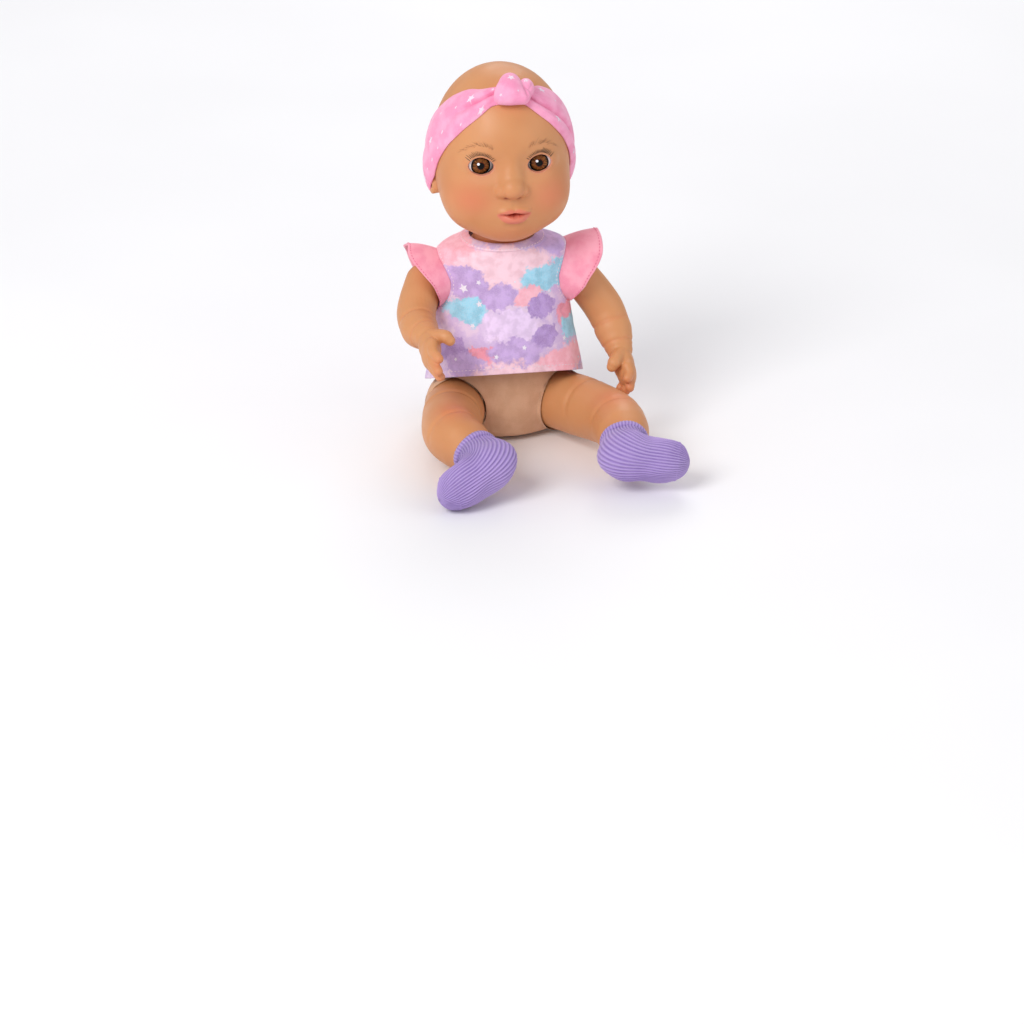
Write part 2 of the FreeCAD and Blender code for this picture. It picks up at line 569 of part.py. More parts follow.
def sleeve(side):
    """Flutter sleeve: a flared ring round the shoulder that narrows to nothing at the armpit."""
    sign = SIDES[side]
    c = V(0, 0, SHOULDER.z)
    near, far = 49.4, 71.0
    start, grown, wall = 18.6, 29.0, 1.4
    outer = Part.makeCone(start + wall, grown + wall, far - near, c + V(near, 0, 0), V(1, 0, 0))
    inner = Part.makeCone(start, grown, far - near, c + V(near, 0, 0), V(1, 0, 0))
    cuff = outer.cut(inner)
    corners = [V(52.0, -60, SHOULDER.z - 24), V(70.6, -60, SHOULDER.z + 40), V(120, -60, SHOULDER.z + 40),
               V(120, -60, SHOULDER.z - 60), V(52.0, -60, SHOULDER.z - 60)]
    wedge = Part.Face(Part.makePolygon(corners + corners[:1])).extrude(V(0, 120, 0))
    cuff = cuff.cut(wedge)
    cuff = cuff if sign > 0 else mirrored(cuff)
    cuff = cuff.cut(limb(ARM_PATHS[side], [r + 0.5 for r in ARM_RADII]))
    save(max(cuff.Solids, key=lambda solid: solid.Volume), "sleeve_" + side)


# ---------------------------------------------------------------- build
save(head_shell(), "head_shell")
headband()
for side in SIDES:
    eye_pieces(side)
    save(arm(side), "arm_" + side)
    save(leg(side), "leg_" + side)
    sock(side)
    sleeve(side)
save(torso_cloth(), "torso_cloth")
save(stuffing(), "torso_stuffing")
ties()
torso_closure()
sound_case()
batteries()
electronics()
press_button()
dress()
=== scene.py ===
import json
import math

import bmesh
import bpy
import numpy as np
from mathutils import Matrix, Vector


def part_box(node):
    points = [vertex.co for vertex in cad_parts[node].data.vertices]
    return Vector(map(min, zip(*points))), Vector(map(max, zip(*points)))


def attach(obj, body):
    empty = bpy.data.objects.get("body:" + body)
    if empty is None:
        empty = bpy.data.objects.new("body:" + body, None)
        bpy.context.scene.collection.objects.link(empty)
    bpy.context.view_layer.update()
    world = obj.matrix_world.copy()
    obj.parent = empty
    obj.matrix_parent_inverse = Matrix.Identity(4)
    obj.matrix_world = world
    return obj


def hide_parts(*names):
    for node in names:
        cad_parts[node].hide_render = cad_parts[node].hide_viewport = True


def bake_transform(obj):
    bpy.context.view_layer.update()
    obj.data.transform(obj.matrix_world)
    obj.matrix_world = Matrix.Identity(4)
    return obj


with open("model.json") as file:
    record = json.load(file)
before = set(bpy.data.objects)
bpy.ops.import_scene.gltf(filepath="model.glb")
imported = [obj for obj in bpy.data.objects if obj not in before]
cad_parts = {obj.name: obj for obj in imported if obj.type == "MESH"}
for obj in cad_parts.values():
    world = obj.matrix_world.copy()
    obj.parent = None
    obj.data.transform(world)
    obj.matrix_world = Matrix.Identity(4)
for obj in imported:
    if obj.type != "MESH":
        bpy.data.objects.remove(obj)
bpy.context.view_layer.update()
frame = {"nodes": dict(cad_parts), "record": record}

# All modelling below is in millimetres, in the doll's frame: +Z up, it faces -Y, its left is +X.
MM = 0.001
SIDES = {"right": -1, "left": 1}
RNG = np.random.default_rng(7)


# ---------------------------------------------------------------- numbers from the frame
def box_mm(node):
    low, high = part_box(node)
    return np.array(low) / MM, np.array(high) / MM


def middle_mm(node):
    low, high = box_mm(node)
    return (low + high) / 2


def eye_middle(side):
    """Middle of the eyeball, behind the front of its iris lens."""
    x, _, z = middle_mm("iris_lens_" + side)
    return np.array([x, box_mm("iris_lens_" + side)[0][1] + EYE_RADIUS + LENS_FRONT, z])


EYE_RADIUS = 9.5
LENS_FRONT = 0.35          # how far the lens stands in front of the eyeball's sphere
EYE = {side: eye_middle(side) for side in SIDES}
HEAD_CENTRE = np.array([0.0, 0.0, 205.0])
SHOULDER = np.array([54.0, 0.0, 112.0])


# ---------------------------------------------------------------- mesh helpers
def make_mesh(name, points, faces, smooth=True):
    """A mesh object from points in millimetres."""
    mesh = bpy.data.meshes.new(name)
    corners = [tuple(p) for p in np.asarray(points) * MM]
    mesh.from_pydata(corners, [], [tuple(int(i) for i in f) for f in faces])
    mesh.update()
    if smooth:
        mesh.polygons.foreach_set("use_smooth", [True] * len(mesh.polygons))
    obj = bpy.data.objects.new(name, mesh)
    bpy.context.scene.collection.objects.link(obj)
    return obj


def grid_faces(rows, columns, wrap=True):
    """Quads of a grid whose columns close round when wrap is true."""
    last = columns if wrap else columns - 1
    r = np.arange(rows - 1)[:, None]
    c = np.arange(last)[None, :]
    d = (c + 1) % columns
    quads = np.stack([r * columns + c, r * columns + d, (r + 1) * columns + d, (r + 1) * columns + c], -1)
    return quads.reshape(-1, 4)


def capped_faces(rows, columns):
    """Faces of a closed tube: its quads and a flat cap at each end."""
    last = (rows - 1) * columns
    caps = [tuple(range(columns))[::-1], tuple(range(last, last + columns))]
    return [tuple(f) for f in grid_faces(rows, columns)] + caps


def loop_faces(around, section):
    """Quads of a closed loop whose cross-section is closed too."""
    i, k = np.arange(around)[:, None], np.arange(section)[None, :]
    j, m = (i + 1) % around, (k + 1) % section
    quads = np.stack([i * section + k, j * section + k, j * section + m, i * section + m], -1)
    return quads.reshape(-1, 4)


def grid(first, second):
    """Two directions as a pair of tables; the first one runs down the rows."""
    return np.meshgrid(first, second, indexing="ij")


def full_turn(count):
    return np.linspace(0, 2 * math.pi, count, endpoint=False)


def set_mask(obj, name, values):
    """Stores one number per vertex, for a material to read."""
    layer = obj.data.attributes.new(name, "FLOAT", "POINT")
    layer.data.foreach_set("value", np.ascontiguousarray(values, dtype=np.float32))


def set_vector(obj, name, values):
    """Stores three numbers per vertex."""
    layer = obj.data.attributes.new(name, "FLOAT_VECTOR", "POINT")
    layer.data.foreach_set("vector", np.ascontiguousarray(values, dtype=np.float32).ravel())


def join(name, pieces):
    """Joins (points, faces) pairs into one mesh object."""
    points = []
    faces = []
    start = 0
    for part_points, part_faces in pieces:
        points.append(np.asarray(part_points))
        faces += [[int(i) + start for i in f] for f in part_faces]
        start += len(part_points)
    return make_mesh(name, np.concatenate(points), faces)


def apply_modifiers(obj):
    """Makes the modifiers' result the object's own mesh."""
    depsgraph = bpy.context.evaluated_depsgraph_get()
    mesh = bpy.data.meshes.new_from_object(obj.evaluated_get(depsgraph))
    obj.modifiers.clear()
    old = obj.data
    obj.data = mesh
    mesh.name = obj.name
    bpy.data.meshes.remove(old)


def thicken(obj, wall, offset):
    """Gives a sheet its thickness in millimetres."""
    modifier = obj.modifiers.new("wall", "SOLIDIFY")
    modifier.thickness = wall * MM
    modifier.offset = offset
    modifier.use_even_offset = False
    apply_modifiers(obj)


def smooth_mesh(obj, times):
    modifier = obj.modifiers.new("smooth", "SMOOTH")
    modifier.iterations = times
    modifier.factor = 0.5
    apply_modifiers(obj)


def verts_mm(obj):
    flat = np.empty(len(obj.data.vertices) * 3)
    obj.data.vertices.foreach_get("co", flat)
    return flat.reshape(-1, 3) / MM


def set_verts_mm(obj, points):
    obj.data.vertices.foreach_set("co", (np.asarray(points) * MM).ravel())
    obj.data.update()


def unit(v):
    v = np.asarray(v, dtype=float)
    return v / np.maximum(np.linalg.norm(v, axis=-1, keepdims=True), 1e-9)


def smooth_step(x, low, high):
    """0 below low, 1 above high, and a smooth rise between."""
    t = np.clip((x - low) / (high - low), 0.0, 1.0)
    return t * t * (3 - 2 * t)


def bump(squared):
    """A soft hump: 1 in its middle, fading with the squared distance."""
    return np.exp(-squared)


def curve_through(points, count):
    """Points along a Catmull-Rom curve through the given ones, rows of any width."""
    p = np.asarray(points, dtype=float)
    p = np.vstack([2 * p[0] - p[1], p, 2 * p[-1] - p[-2]])
    spans = len(p) - 3
    t = np.linspace(0, spans, count)
    i = np.minimum(t.astype(int), spans - 1)
    f = (t - i)[:, None]
    a, b, c, d = p[i], p[i + 1], p[i + 2], p[i + 3]
    bend, twist = 2 * a - 5 * b + 4 * c - d, 3 * b - a - 3 * c + d
    return 0.5 * (2 * b + (c - a) * f + bend * f ** 2 + twist * f ** 3)


# ---------------------------------------------------------------- implicit shapes
def ellipsoid(p, centre, radii):
    """Roughly the distance to an ellipsoid, negative inside."""
    q = (p - np.asarray(centre)) / np.asarray(radii)
    k0 = np.linalg.norm(q, axis=-1)
    k1 = np.linalg.norm(q / np.asarray(radii), axis=-1)
    return k0 * (k0 - 1.0) / np.maximum(k1, 1e-6)


def capsule(p, a, b, ra, rb):
    """Distance to a rod whose radius goes from ra to rb."""
    a, b = np.asarray(a, float), np.asarray(b, float)
    t = np.clip(((p - a) @ (b - a)) / ((b - a) @ (b - a)), 0, 1)
    return np.linalg.norm(p - (a + t[..., None] * (b - a)), axis=-1) - (ra + (rb - ra) * t)


def blend_in(a, b, k):
    """Smooth union of two distances."""
    h = np.clip(0.5 + 0.5 * (b - a) / k, 0, 1)
    return b * (1 - h) + a * h - k * h * (1 - h)


def carve(a, b, k):
    """Smoothly takes shape b out of shape a."""
    return -blend_in(-a, b, k)


def ray_hit(shape, origins, directions, near, far, steps=26):
    """Outermost crossing of a star-shaped form along each ray, by halving."""
    low = np.full(len(directions), float(near))
    high = np.full(len(directions), float(far))
    for _ in range(steps):
        mid = (low + high) / 2
        inside = shape(origins + directions * mid[:, None]) < 0
        low = np.where(inside, mid, low)
        high = np.where(inside, high, mid)
    return origins + directions * ((low + high) / 2)[:, None]


# ---------------------------------------------------------------- the head's form
MOUTH_SHIFT = np.array([1.5, 0, 0])      # the mouth sits a little to the doll's left


def mirrored_x(p):
    """Both sides of the head folded onto its left."""
    return np.stack([np.abs(p[..., 0]), p[..., 1], p[..., 2]], -1)


def skull(q):
    """Cranium, jaw and cheeks of the folded head."""
    d = ellipsoid(q, (0, 3, 211), (46.3, 51.5, 54.6))
    d = blend_in(d, ellipsoid(q, (0, -6.5, 189), (43.4, 42.0, 38.5)), 12.0)
    return blend_in(d, ellipsoid(q, (20.5, -24, 180.5), (20.0, 19.0, 20.5)), 14.0)


def skull_form(p):
    """The head without its features, with the ears pressed in under the band."""
    q = mirrored_x(p)
    return blend_in(skull(q), ellipsoid(q, (44.4, 8, 188), (4.2, 10.0, 15.0)), 5.0)


def head_form(p):
    """The vinyl head as one smooth implicit form, the same on both sides apart from the mouth."""
    q = mirrored_x(p)
    eye = EYE["left"]
    # chin and the front of the muzzle
    d = blend_in(skull(q), ellipsoid(q, (0, -31.0, 165.5), (17.5, 14.0, 13.0)), 13.0)
    d = blend_in(d, ellipsoid(q, (0, -38.5, 178), (14, 10, 12)), 9.0)
    # eye sockets and lids
    d = carve(d, ellipsoid(q, (eye[0] + 1.0, -51, eye[2] + 1.5), (14.5, 7.4, 9.0)), 8.0)
    d = blend_in(d, ellipsoid(q, eye, (13.9, 11.35, 10.9)), 2.2)
    # nose
    d = blend_in(d, capsule(q, (0, -41.5, 210), (0, -49.5, 198), 4.4, 6.0), 6.5)
    d = blend_in(d, ellipsoid(q, (0, -51.6, 195.8), (7.6, 7.2, 6.8)), 3.2)
    d = blend_in(d, ellipsoid(q, (7.6, -47.4, 193.4), (4.6, 6.0, 4.6)), 2.2)
    d = carve(d, ellipsoid(q, (4.2, -52.6, 188.8), (2.1, 2.4, 1.8)), 1.0)
    # lips
    q = mirrored_x(p - MOUTH_SHIFT)
    d = carve(d, ellipsoid(q, (0, -53.6, 184.8), (1.9, 2.6, 4.4)), 1.8)
    d = blend_in(d, ellipsoid(q, (3.9, -47.6, 179.4), (7.6, 5.0, 3.2)), 1.4)
    d = blend_in(d, ellipsoid(q, (0, -47.2, 173.6), (8.6, 5.8, 3.9)), 1.8)
    d = carve(d, ellipsoid(q, (0, -52.6, 176.8), (10.5, 4.4, 0.8)), 0.9)
    d = carve(d, ellipsoid(q, (0, -52.0, 177.0), (4.0, 5.2, 1.35)), 0.6)
    d = carve(d, ellipsoid(q, (0, -51.6, 166.6), (8.5, 2.8, 2.4)), 3.0)
    q = mirrored_x(p)
    # ears: a rounded shell with its hollow
    ear = ellipsoid(q, (45.2, 6, 184), (4.2, 7.2, 11.2))
    ear = carve(ear, ellipsoid(q, (49.6, 4.5, 185), (2.8, 4.6, 7.6)), 1.2)
    d = blend_in(d, ear, 1.8)
    # neck with the soft crease under the jaw
    neck = np.maximum(np.hypot(q[..., 0], q[..., 1] + 2.4) - 19.8, 139.8 - q[..., 2])
    return blend_in(d, np.maximum(neck, q[..., 2] - 175), 2.5)


def front_of_head(x, z, lift=0.0):
    """Point on the front of the head at the given place across and up."""
    x, z = np.broadcast_arrays(np.asarray(x, float), np.asarray(z, float))
    start = np.stack([x, np.full_like(x, -8.0), z], -1).reshape(-1, 3)
    ahead = np.tile(np.array([0.0, -1.0, 0.0]), (len(start), 1))
    hit = ray_hit(head_form, start, ahead, 0, 60)
    return hit + ahead * lift


# ---------------------------------------------------------------- head mesh
EYE_HALF = (8.7, 6.3)      # half width and half height of the eye opening


def eye_shape(x, z, side):
    """1 on the rim of the eye opening, less inside: rounder above, pointed at the corners."""
    u = (x - EYE[side][0]) / EYE_HALF[0]
    v = (z - EYE[side][2]) / np.where(z > EYE[side][2], EYE_HALF[1] + 0.3, EYE_HALF[1] - 0.2)
    return (np.abs(u) ** 1.75 + np.abs(v) ** 1.9) ** (1 / 1.8)


def head_mesh():
    """Rings round the face's axis, close together over the face and wider apart behind."""
    rings, around = 250, 336
    t = np.linspace(0.004, 1.0, rings)
    polar, turn = grid(math.pi * (0.46 * t + 0.54 * t ** 2.6), full_turn(around))
    directions = np.stack([np.sin(polar) * np.sin(turn), -np.cos(polar), np.sin(polar) * np.cos(turn)], -1)
    centre = np.array([0.0, 0.0, 190.0])
    points = ray_hit(head_form, centre, unit(directions.reshape(-1, 3)), 5, 110)
    faces = [tuple(f)[::-1] for f in grid_faces(rings, around)]
    points = np.vstack([points, ray_hit(head_form, centre, np.array([[0.0, -1.0, 0.0]]), 5, 110)])
    tip = len(points) - 1
    faces += [(i, (i + 1) % around, tip) for i in range(around)]
    last = (rings - 1) * around
    points = np.vstack([points, points[last:last + around].mean(0)])
    faces += [(last + (i + 1) % around, last + i, len(points) - 1) for i in range(around)]
    faces = cut_eye_openings(points, faces)
    head = make_mesh("head_skin", points, faces)
    line_eye_rims(head)
    return head


def cut_eye_openings(points, faces):
    """Drops the faces inside the eye openings and draws their edges onto the rims."""
    front = points[:, 1] < -25
    for side in SIDES:
        shape = np.where(front, eye_shape(points[:, 0], points[:, 2], side), 9.0)
        kept = [f for f in faces if np.mean(shape[list(f)]) > 1.0]
        dropped = {i for f in faces if np.mean(shape[list(f)]) <= 1.0 for i in f}
        rim = np.array(sorted(dropped & {i for f in kept for i in f}))
        centre = EYE[side][[0, 2]]
        for _ in range(4):
            scale = 1.0 / eye_shape(points[rim, 0], points[rim, 2], side)
            flat = centre + (points[rim][:, [0, 2]] - centre) * scale[:, None]
            points[rim, 0] = flat[:, 0]
            points[rim, 2] = flat[:, 1]
        points[rim] = front_of_head(points[rim, 0], points[rim, 2])
        faces = kept
    return faces


def line_eye_rims(head):
    """Turns each rim inwards, so the lids have thickness."""
    mesh = bmesh.new()
    mesh.from_mesh(head.data)
    bmesh.ops.delete(mesh, geom=[v for v in mesh.verts if not v.link_faces], context="VERTS")
    for side in SIDES:
        eye = Vector(EYE[side] * MM)
        edges = [e for e in mesh.edges if e.is_boundary and (e.verts[0].co - eye).length < 0.02]
        for depth in (0.25, 0.5, 0.8, 1.1):
            made = bmesh.ops.extrude_edge_only(mesh, edges=edges)["geom"]
            edges = [g for g in made if isinstance(g, bmesh.types.BMEdge) and g.is_boundary]
            for v in {v for e in edges for v in e.verts}:
                inward = eye - v.co
                inward.y = 0
                step = 0.00022 if depth < 0.4 else 0.00005
                v.co += Vector((0, 0.0006 * (0.6 + depth), 0)) + inward.normalized() * step
    bmesh.ops.recalc_face_normals(mesh, faces=mesh.faces[:])
    mesh.to_mesh(head.data)
    mesh.free()
    head.data.polygons.foreach_set("use_smooth", [True] * len(head.data.polygons))


def paint_head(head):
    """Masks for the blush, painted shade under the chin and in the nostrils, the lips, the mouth's inside and
    the eye rims.
    """
    p = verts_mm(head)
    q = mirrored_x(p)
    blush_and_shade = 0.62 * bump(((q[:, 0] - 27) / 14) ** 2 + ((q[:, 2] - 187) / 12) ** 2) * (p[:, 1] < 0)
    blush_and_shade += 0.22 * bump((q[:, 0] / 8) ** 2 + ((q[:, 2] - 192) / 5) ** 2) * (p[:, 1] < -40)
    # The next two terms are painted shade under the chin and down the neck, not blush.
    blush_and_shade += 0.35 * bump((q[:, 0] / 24) ** 2 + ((q[:, 2] - 160) / 8) ** 2) * (p[:, 1] < -10)
    blush_and_shade += 0.6 * smooth_step(154 - p[:, 2], 0, 8)
    set_mask(head, "blush_and_shade", np.clip(blush_and_shade, 0, 1))
    q = mirrored_x(p - MOUTH_SHIFT)
    x = q[:, 0] / 12.0
    upper = 177.2 + 4.5 * (1 - x ** 2) - 1.2 * bump((q[:, 0] / 1.7) ** 2)
    lower = 177.0 - 7.4 * np.clip(1 - x ** 2, 0, 1) ** 0.75
    edge = np.minimum(upper - p[:, 2], p[:, 2] - lower)
    muzzle = p[:, 1] < -38
    set_mask(head, "lips", smooth_step(edge, -0.5, 0.9) * (x < 1.05) * muzzle)
    gap = bump((q[:, 0] / 4.4) ** 4 + ((p[:, 2] - 177.0) / 1.25) ** 2) * muzzle
    line = 0.45 * bump(((p[:, 2] - 176.6) / 0.55) ** 2) * smooth_step(11.6 - q[:, 0], 0, 2) * muzzle
    set_mask(head, "mouth", np.clip(gap + line, 0, 1))
    rim = np.zeros(len(p))
    warm = np.zeros(len(p))
    for side in SIDES:
        near = (np.abs(p[:, 0] - EYE[side][0]) < 14) & (p[:, 1] < -28)
        shape = eye_shape(p[:, 0], p[:, 2], side)
        rim = np.maximum(rim, near * smooth_step(1.035 - shape, 0, 0.05))
        warm = np.maximum(warm, near * bump(((shape - 1.0) / 0.30) ** 2))
    set_mask(head, "rim", rim)
    set_mask(head, "warm", np.clip(warm, 0, 1))
    q = mirrored_x(p)
    # Painted shade in the hollows of the nostrils.
    nostril_shade = bump(((q[:, 0] - 4.1) / 1.7) ** 2 + ((p[:, 2] - 189.3) / 1.3) ** 2) * (p[:, 1] < -46)
    set_mask(head, "nostril_shade", nostril_shade)


# ---------------------------------------------------------------- eyes, lashes and brows
IRIS_RADIUS = 6.4
EYE_SHAPE = (12.6, 10.0, 10.0)     # wider than high, so the eye fills its opening and still rolls


def eye_mesh(side):
    """Eyeball whose rings round the line of sight carry the iris pattern; its upper part is the lid."""
    rings, around = 60, 96
    polar, turn = grid(np.linspace(0.0, math.pi, rings)[1:-1], full_turn(around))
    points = np.stack([EYE_SHAPE[0] * np.sin(polar) * np.cos(turn), -EYE_SHAPE[1] * np.cos(polar),
                       EYE_SHAPE[2] * np.sin(polar) * np.sin(turn)], -1).reshape(-1, 3)
    faces = [tuple(f) for f in grid_faces(rings - 2, around)]
    count = len(points)
    points = np.vstack([points, [[0, -EYE_SHAPE[1], 0], [0, EYE_SHAPE[1], 0]]])
    faces += [((i + 1) % around, i, count) for i in range(around)]
    last = (rings - 3) * around
    faces += [(last + i, last + (i + 1) % around, count + 1) for i in range(around)]
    eye = make_mesh("eye_globe_" + side, points + EYE[side], faces)
    flat = points[:, [0, 2]]
    radial = np.linalg.norm(flat, axis=1) / IRIS_RADIUS + 9.0 * (points[:, 1] > 0)
    set_mask(eye, "radial", radial)
    spoke = unit(flat + 1e-6)
    set_vector(eye, "spokes", np.stack([spoke[:, 0] * 7, spoke[:, 1] * 7, radial * 1.3], -1))
    set_mask(eye, "lid", smooth_step(points[:, 2], 6.75, 6.95))
    return eye


def glint(side):
    """The painted highlight beside the pupil, up and towards the doll's right."""
    angles = full_turn(24)
    flat = [np.zeros(2)]
    for share in (0.5, 1.0):
        flat += list(np.stack([0.95 * np.cos(angles), 0.9 * np.sin(angles)], -1) * share)
    flat = np.array(flat) + [-1.7, 1.5]
    depth = EYE_SHAPE[1] * np.sqrt(1 - (flat[:, 0] / EYE_SHAPE[0]) ** 2 - (flat[:, 1] / EYE_SHAPE[2]) ** 2)
    points = EYE[side] + np.stack([flat[:, 0], -depth - 0.08, flat[:, 1]], -1)
    faces = [(0, 1 + i, 1 + (i + 1) % 24) for i in range(24)]
    faces += [(1 + i, 25 + i, 25 + (i + 1) % 24, 1 + (i + 1) % 24) for i in range(24)]
    return make_mesh("eye_glint_" + side, points, faces)


def strand(points, thickness):
    """A thin tapered three-sided hair along some points."""
    points = np.asarray(points, float)
    along = unit(np.gradient(points, axis=0))
    side = unit(np.cross(along, [0.0, 1.0, 0.15]))
    over = np.cross(side, along)
    rows = []
    for i, point in enumerate(points):
        size = thickness * (1.0 - 0.85 * (i / (len(points) - 1)) ** 1.5)
        for k in range(3):
            angle = 2 * math.pi * k / 3
            rows.append(point + size * (math.cos(angle) * side[i] + math.sin(angle) * over[i]))
    return np.array(rows), capped_faces(len(points), 3)


def lashes(side):
    """Short lashes that fan out all along the upper lid."""
    hairs = []
    sign = SIDES[side]
    centre = EYE[side]
    count = 19
    for i in range(count):
        across = -0.93 + 1.86 * (i + 0.5) / count
        angle = math.acos(across * 0.99)
        base = np.array([math.cos(angle), math.sin(angle)])
        size = 1.09 / float(eye_shape(centre[0] + base[0], centre[2] + base[1], side))
        start = centre[[0, 2]] + base * size
        outward = unit(np.array([across * 1.25 + sign * 0.12, 1.0 - 0.35 * abs(across)]))
        outer = across * sign > 0.15
        length = (3.3 if outer else 2.6) * (0.85 + 0.3 * RNG.random())
        t = np.linspace(0, 1, 6)[:, None]
        bend = np.array([[outward[0] * 0.25, 0.25]])
        flat = start + outward * length * t + bend * length * 0.25 * t ** 2
        surface = front_of_head(flat[:, 0], flat[:, 1], 0.05)
        surface[:, 1] -= 0.35 * t[:, 0] ** 1.5
        hairs.append(strand(surface, 0.29 + 0.04 * RNG.random()))
    return join("lashes_" + side, hairs)


def brow(side):
    """A faint brow of fine painted hairs."""
    hairs = []
    sign = SIDES[side]
    for i in range(34):
        u = i / 33 + 0.012 * RNG.normal()
        x = sign * (12.5 + 21.0 * u)
        z = float(np.interp(u, [0, 0.3, 0.55, 0.8, 1.0], [224.6, 225.8, 225.0, 221.8, 217.6]))
        slope = math.radians(float(np.interp(u, [0, 0.4, 0.75, 1], [75, 42, 2, -38])))
        length = 4.0 * (0.75 + 0.4 * RNG.random()) * (1 - 0.25 * u)
        t = np.linspace(-0.5, 0.5, 5)
        px = x + sign * length * t * math.cos(slope)
        pz = z + length * t * math.sin(slope) + 0.5 * RNG.normal()
        hairs.append(strand(front_of_head(px, pz, 0.03), 0.19))
    return join("brow_" + side, hairs)


# ---------------------------------------------------------------- headband
# Edges of the band as (azimuth, elevation) in degrees from the head's centre, front to back
BAND_TOP = [(0, 66), (18, 66), (40, 63.5), (60, 61), (80, 52), (95, 40), (110, 29), (130, 19), (155, 11),
            (180, 8)]
BAND_LOW = [(0, 53), (10, 53), (20, 51), (31, 43), (42, 34.5), (51, 26), (60, 17), (70, 3.5), (80, -12),
            (92, -25), (104, -34), (125, -38), (152, -40), (180, -40)]


def band_edge(table, azimuth):
    """Elevation of a band edge, in radians, by the distance round from the front."""
    a = np.degrees(np.abs(np.arctan2(np.sin(azimuth), np.cos(azimuth))))
    table = np.array(table, dtype=float)
    dense = curve_through(table, 200)
    return np.radians(np.interp(a, dense[:, 0], dense[:, 1]))


# Folds of the band: place across it, depth, width and how far round they reach
BAND_FOLDS = [(0.36, 1.5, 0.06, 0.75), (0.60, 1.2, 0.05, 0.55), (0.80, 0.8, 0.05, 0.42), (0.18, 0.7, 0.05, 0.5)]


def band_surface(u, v):
    """Point on the band: u is the azimuth, v runs 0 to 1 from the low edge to the top one."""
    low, top = band_edge(BAND_LOW, u), band_edge(BAND_TOP, u)
    away = np.abs(np.arctan2(np.sin(u), np.cos(u)))
    gather = bump((away / 0.95) ** 2)
    elevation = low + (top - low) * v
    folds = 0.0
    for k, (place, depth, width, reach) in enumerate(BAND_FOLDS):
        drift = place + 0.10 * np.sin(away * 1.9 + k) - 0.05 * away * (1 if k % 2 else -1)
        strength = smooth_step(away, 0.10, 0.28) * (1 - smooth_step(away, reach, reach * 1.9))
        folds = folds - depth * strength * bump(((v - drift) / (width * (1 + away))) ** 2)
        folds = folds + 0.5 * depth * strength * bump(((v - drift - 2.4 * width) / (1.6 * width)) ** 2)
    wave = 0.25 * np.sin(v * 9 + away * 5) * smooth_step(away, 0.8, 1.6)
    crown = 1.7 * (1 - (2 * v - 1) ** 6) + 1.0 * gather * (1 - (2 * v - 1) ** 2)
    loose = 2.6 * bump(((away - 1.68) / 0.36) ** 2) * bump(((elevation + 0.06) / 0.42) ** 2)
    loose = loose * (1 - (2 * v - 1) ** 4)
    turn = np.arctan2(np.sin(u), np.cos(u))
    line = np.where(turn < 0, 0.50 + 0.06 * np.sin(2.2 * away), 0.42 - 0.05 * away)
    fade_from, fade_to = np.where(turn < 0, 0.62, 1.0), np.where(turn < 0, 1.15, 1.75)
    fade = smooth_step(away, 0.06, 0.26) * (1 - smooth_step(away, fade_from, fade_to))
    pleat = -3.0 * fade * bump(((v - line) / 0.055) ** 2)
    pleat = pleat + 1.5 * fade * bump(((v - line - 0.16) / 0.13) ** 2)
    pleat = pleat + 0.9 * fade * bump(((v - line + 0.18) / 0.14) ** 2)
    lift = 0.9 + crown + 0.6 * folds + wave + loose + pleat
    base = around_skull(u, elevation)
    return base + unit(base - HEAD_CENTRE) * lift[..., None]


def around_skull(azimuth, elevation):
    """Point on the skull in a direction from the head's centre; azimuth 0 is the front, in radians."""
    direction = np.stack([np.cos(elevation) * np.sin(azimuth), -np.cos(elevation) * np.cos(azimuth),
                          np.sin(elevation)], -1).reshape(-1, 3)
    return ray_hit(skull_form, HEAD_CENTRE, direction, 20, 90, 24).reshape(np.shape(azimuth) + (3,))


def headband_mesh():
    """The band as a closed loop with rounded edges tucked against the head."""
    around, across = 420, 72
    uu, vv = grid(np.linspace(-math.pi, math.pi, around, endpoint=False), np.linspace(0, 1, across))
    outer = band_surface(uu, vv)
    low, top = band_edge(BAND_LOW, uu), band_edge(BAND_TOP, uu)
    inner = around_skull(uu, low + (top - low) * vv)
    inner = inner + unit(inner - HEAD_CENTRE) * 0.25
    loop = np.concatenate([outer, inner[:, ::-1]], axis=1)
    band = make_mesh("headband_cloth", loop.reshape(-1, 3), loop_faces(around, loop.shape[1]))
    smooth_mesh(band, 2)
    return band


def star_outline(size, turn, waist=0.48):
    """Five-pointed star as ten points round its middle; a waist of 1 makes a dot."""
    angles = turn + np.arange(10) * math.pi / 5
    radii = size * np.where(np.arange(10) % 2 == 0, 1.0, waist)
    return np.stack([radii * np.sin(angles), radii * np.cos(angles)], -1)


def star_patch(place, size, turn, dot=False):
    """A printed star that follows a surface; place(a, b) gives its points, a and b in millimetres."""
    outline = star_outline(size, 0, 1.0) if dot else star_outline(size, turn)
    flat = [np.zeros(2)]
    for share in (0.34, 0.68, 1.0):
        flat += list(outline * share)
    flat = np.array(flat)
    points = place(flat[:, 0], flat[:, 1])
    faces = [(0, 1 + i, 1 + (i + 1) % 10) for i in range(10)]
    for ring in range(2):
        a, b = 1 + ring * 10, 11 + ring * 10
        faces += [(a + i, b + i, b + (i + 1) % 10, a + (i + 1) % 10) for i in range(10)]
    return points, faces


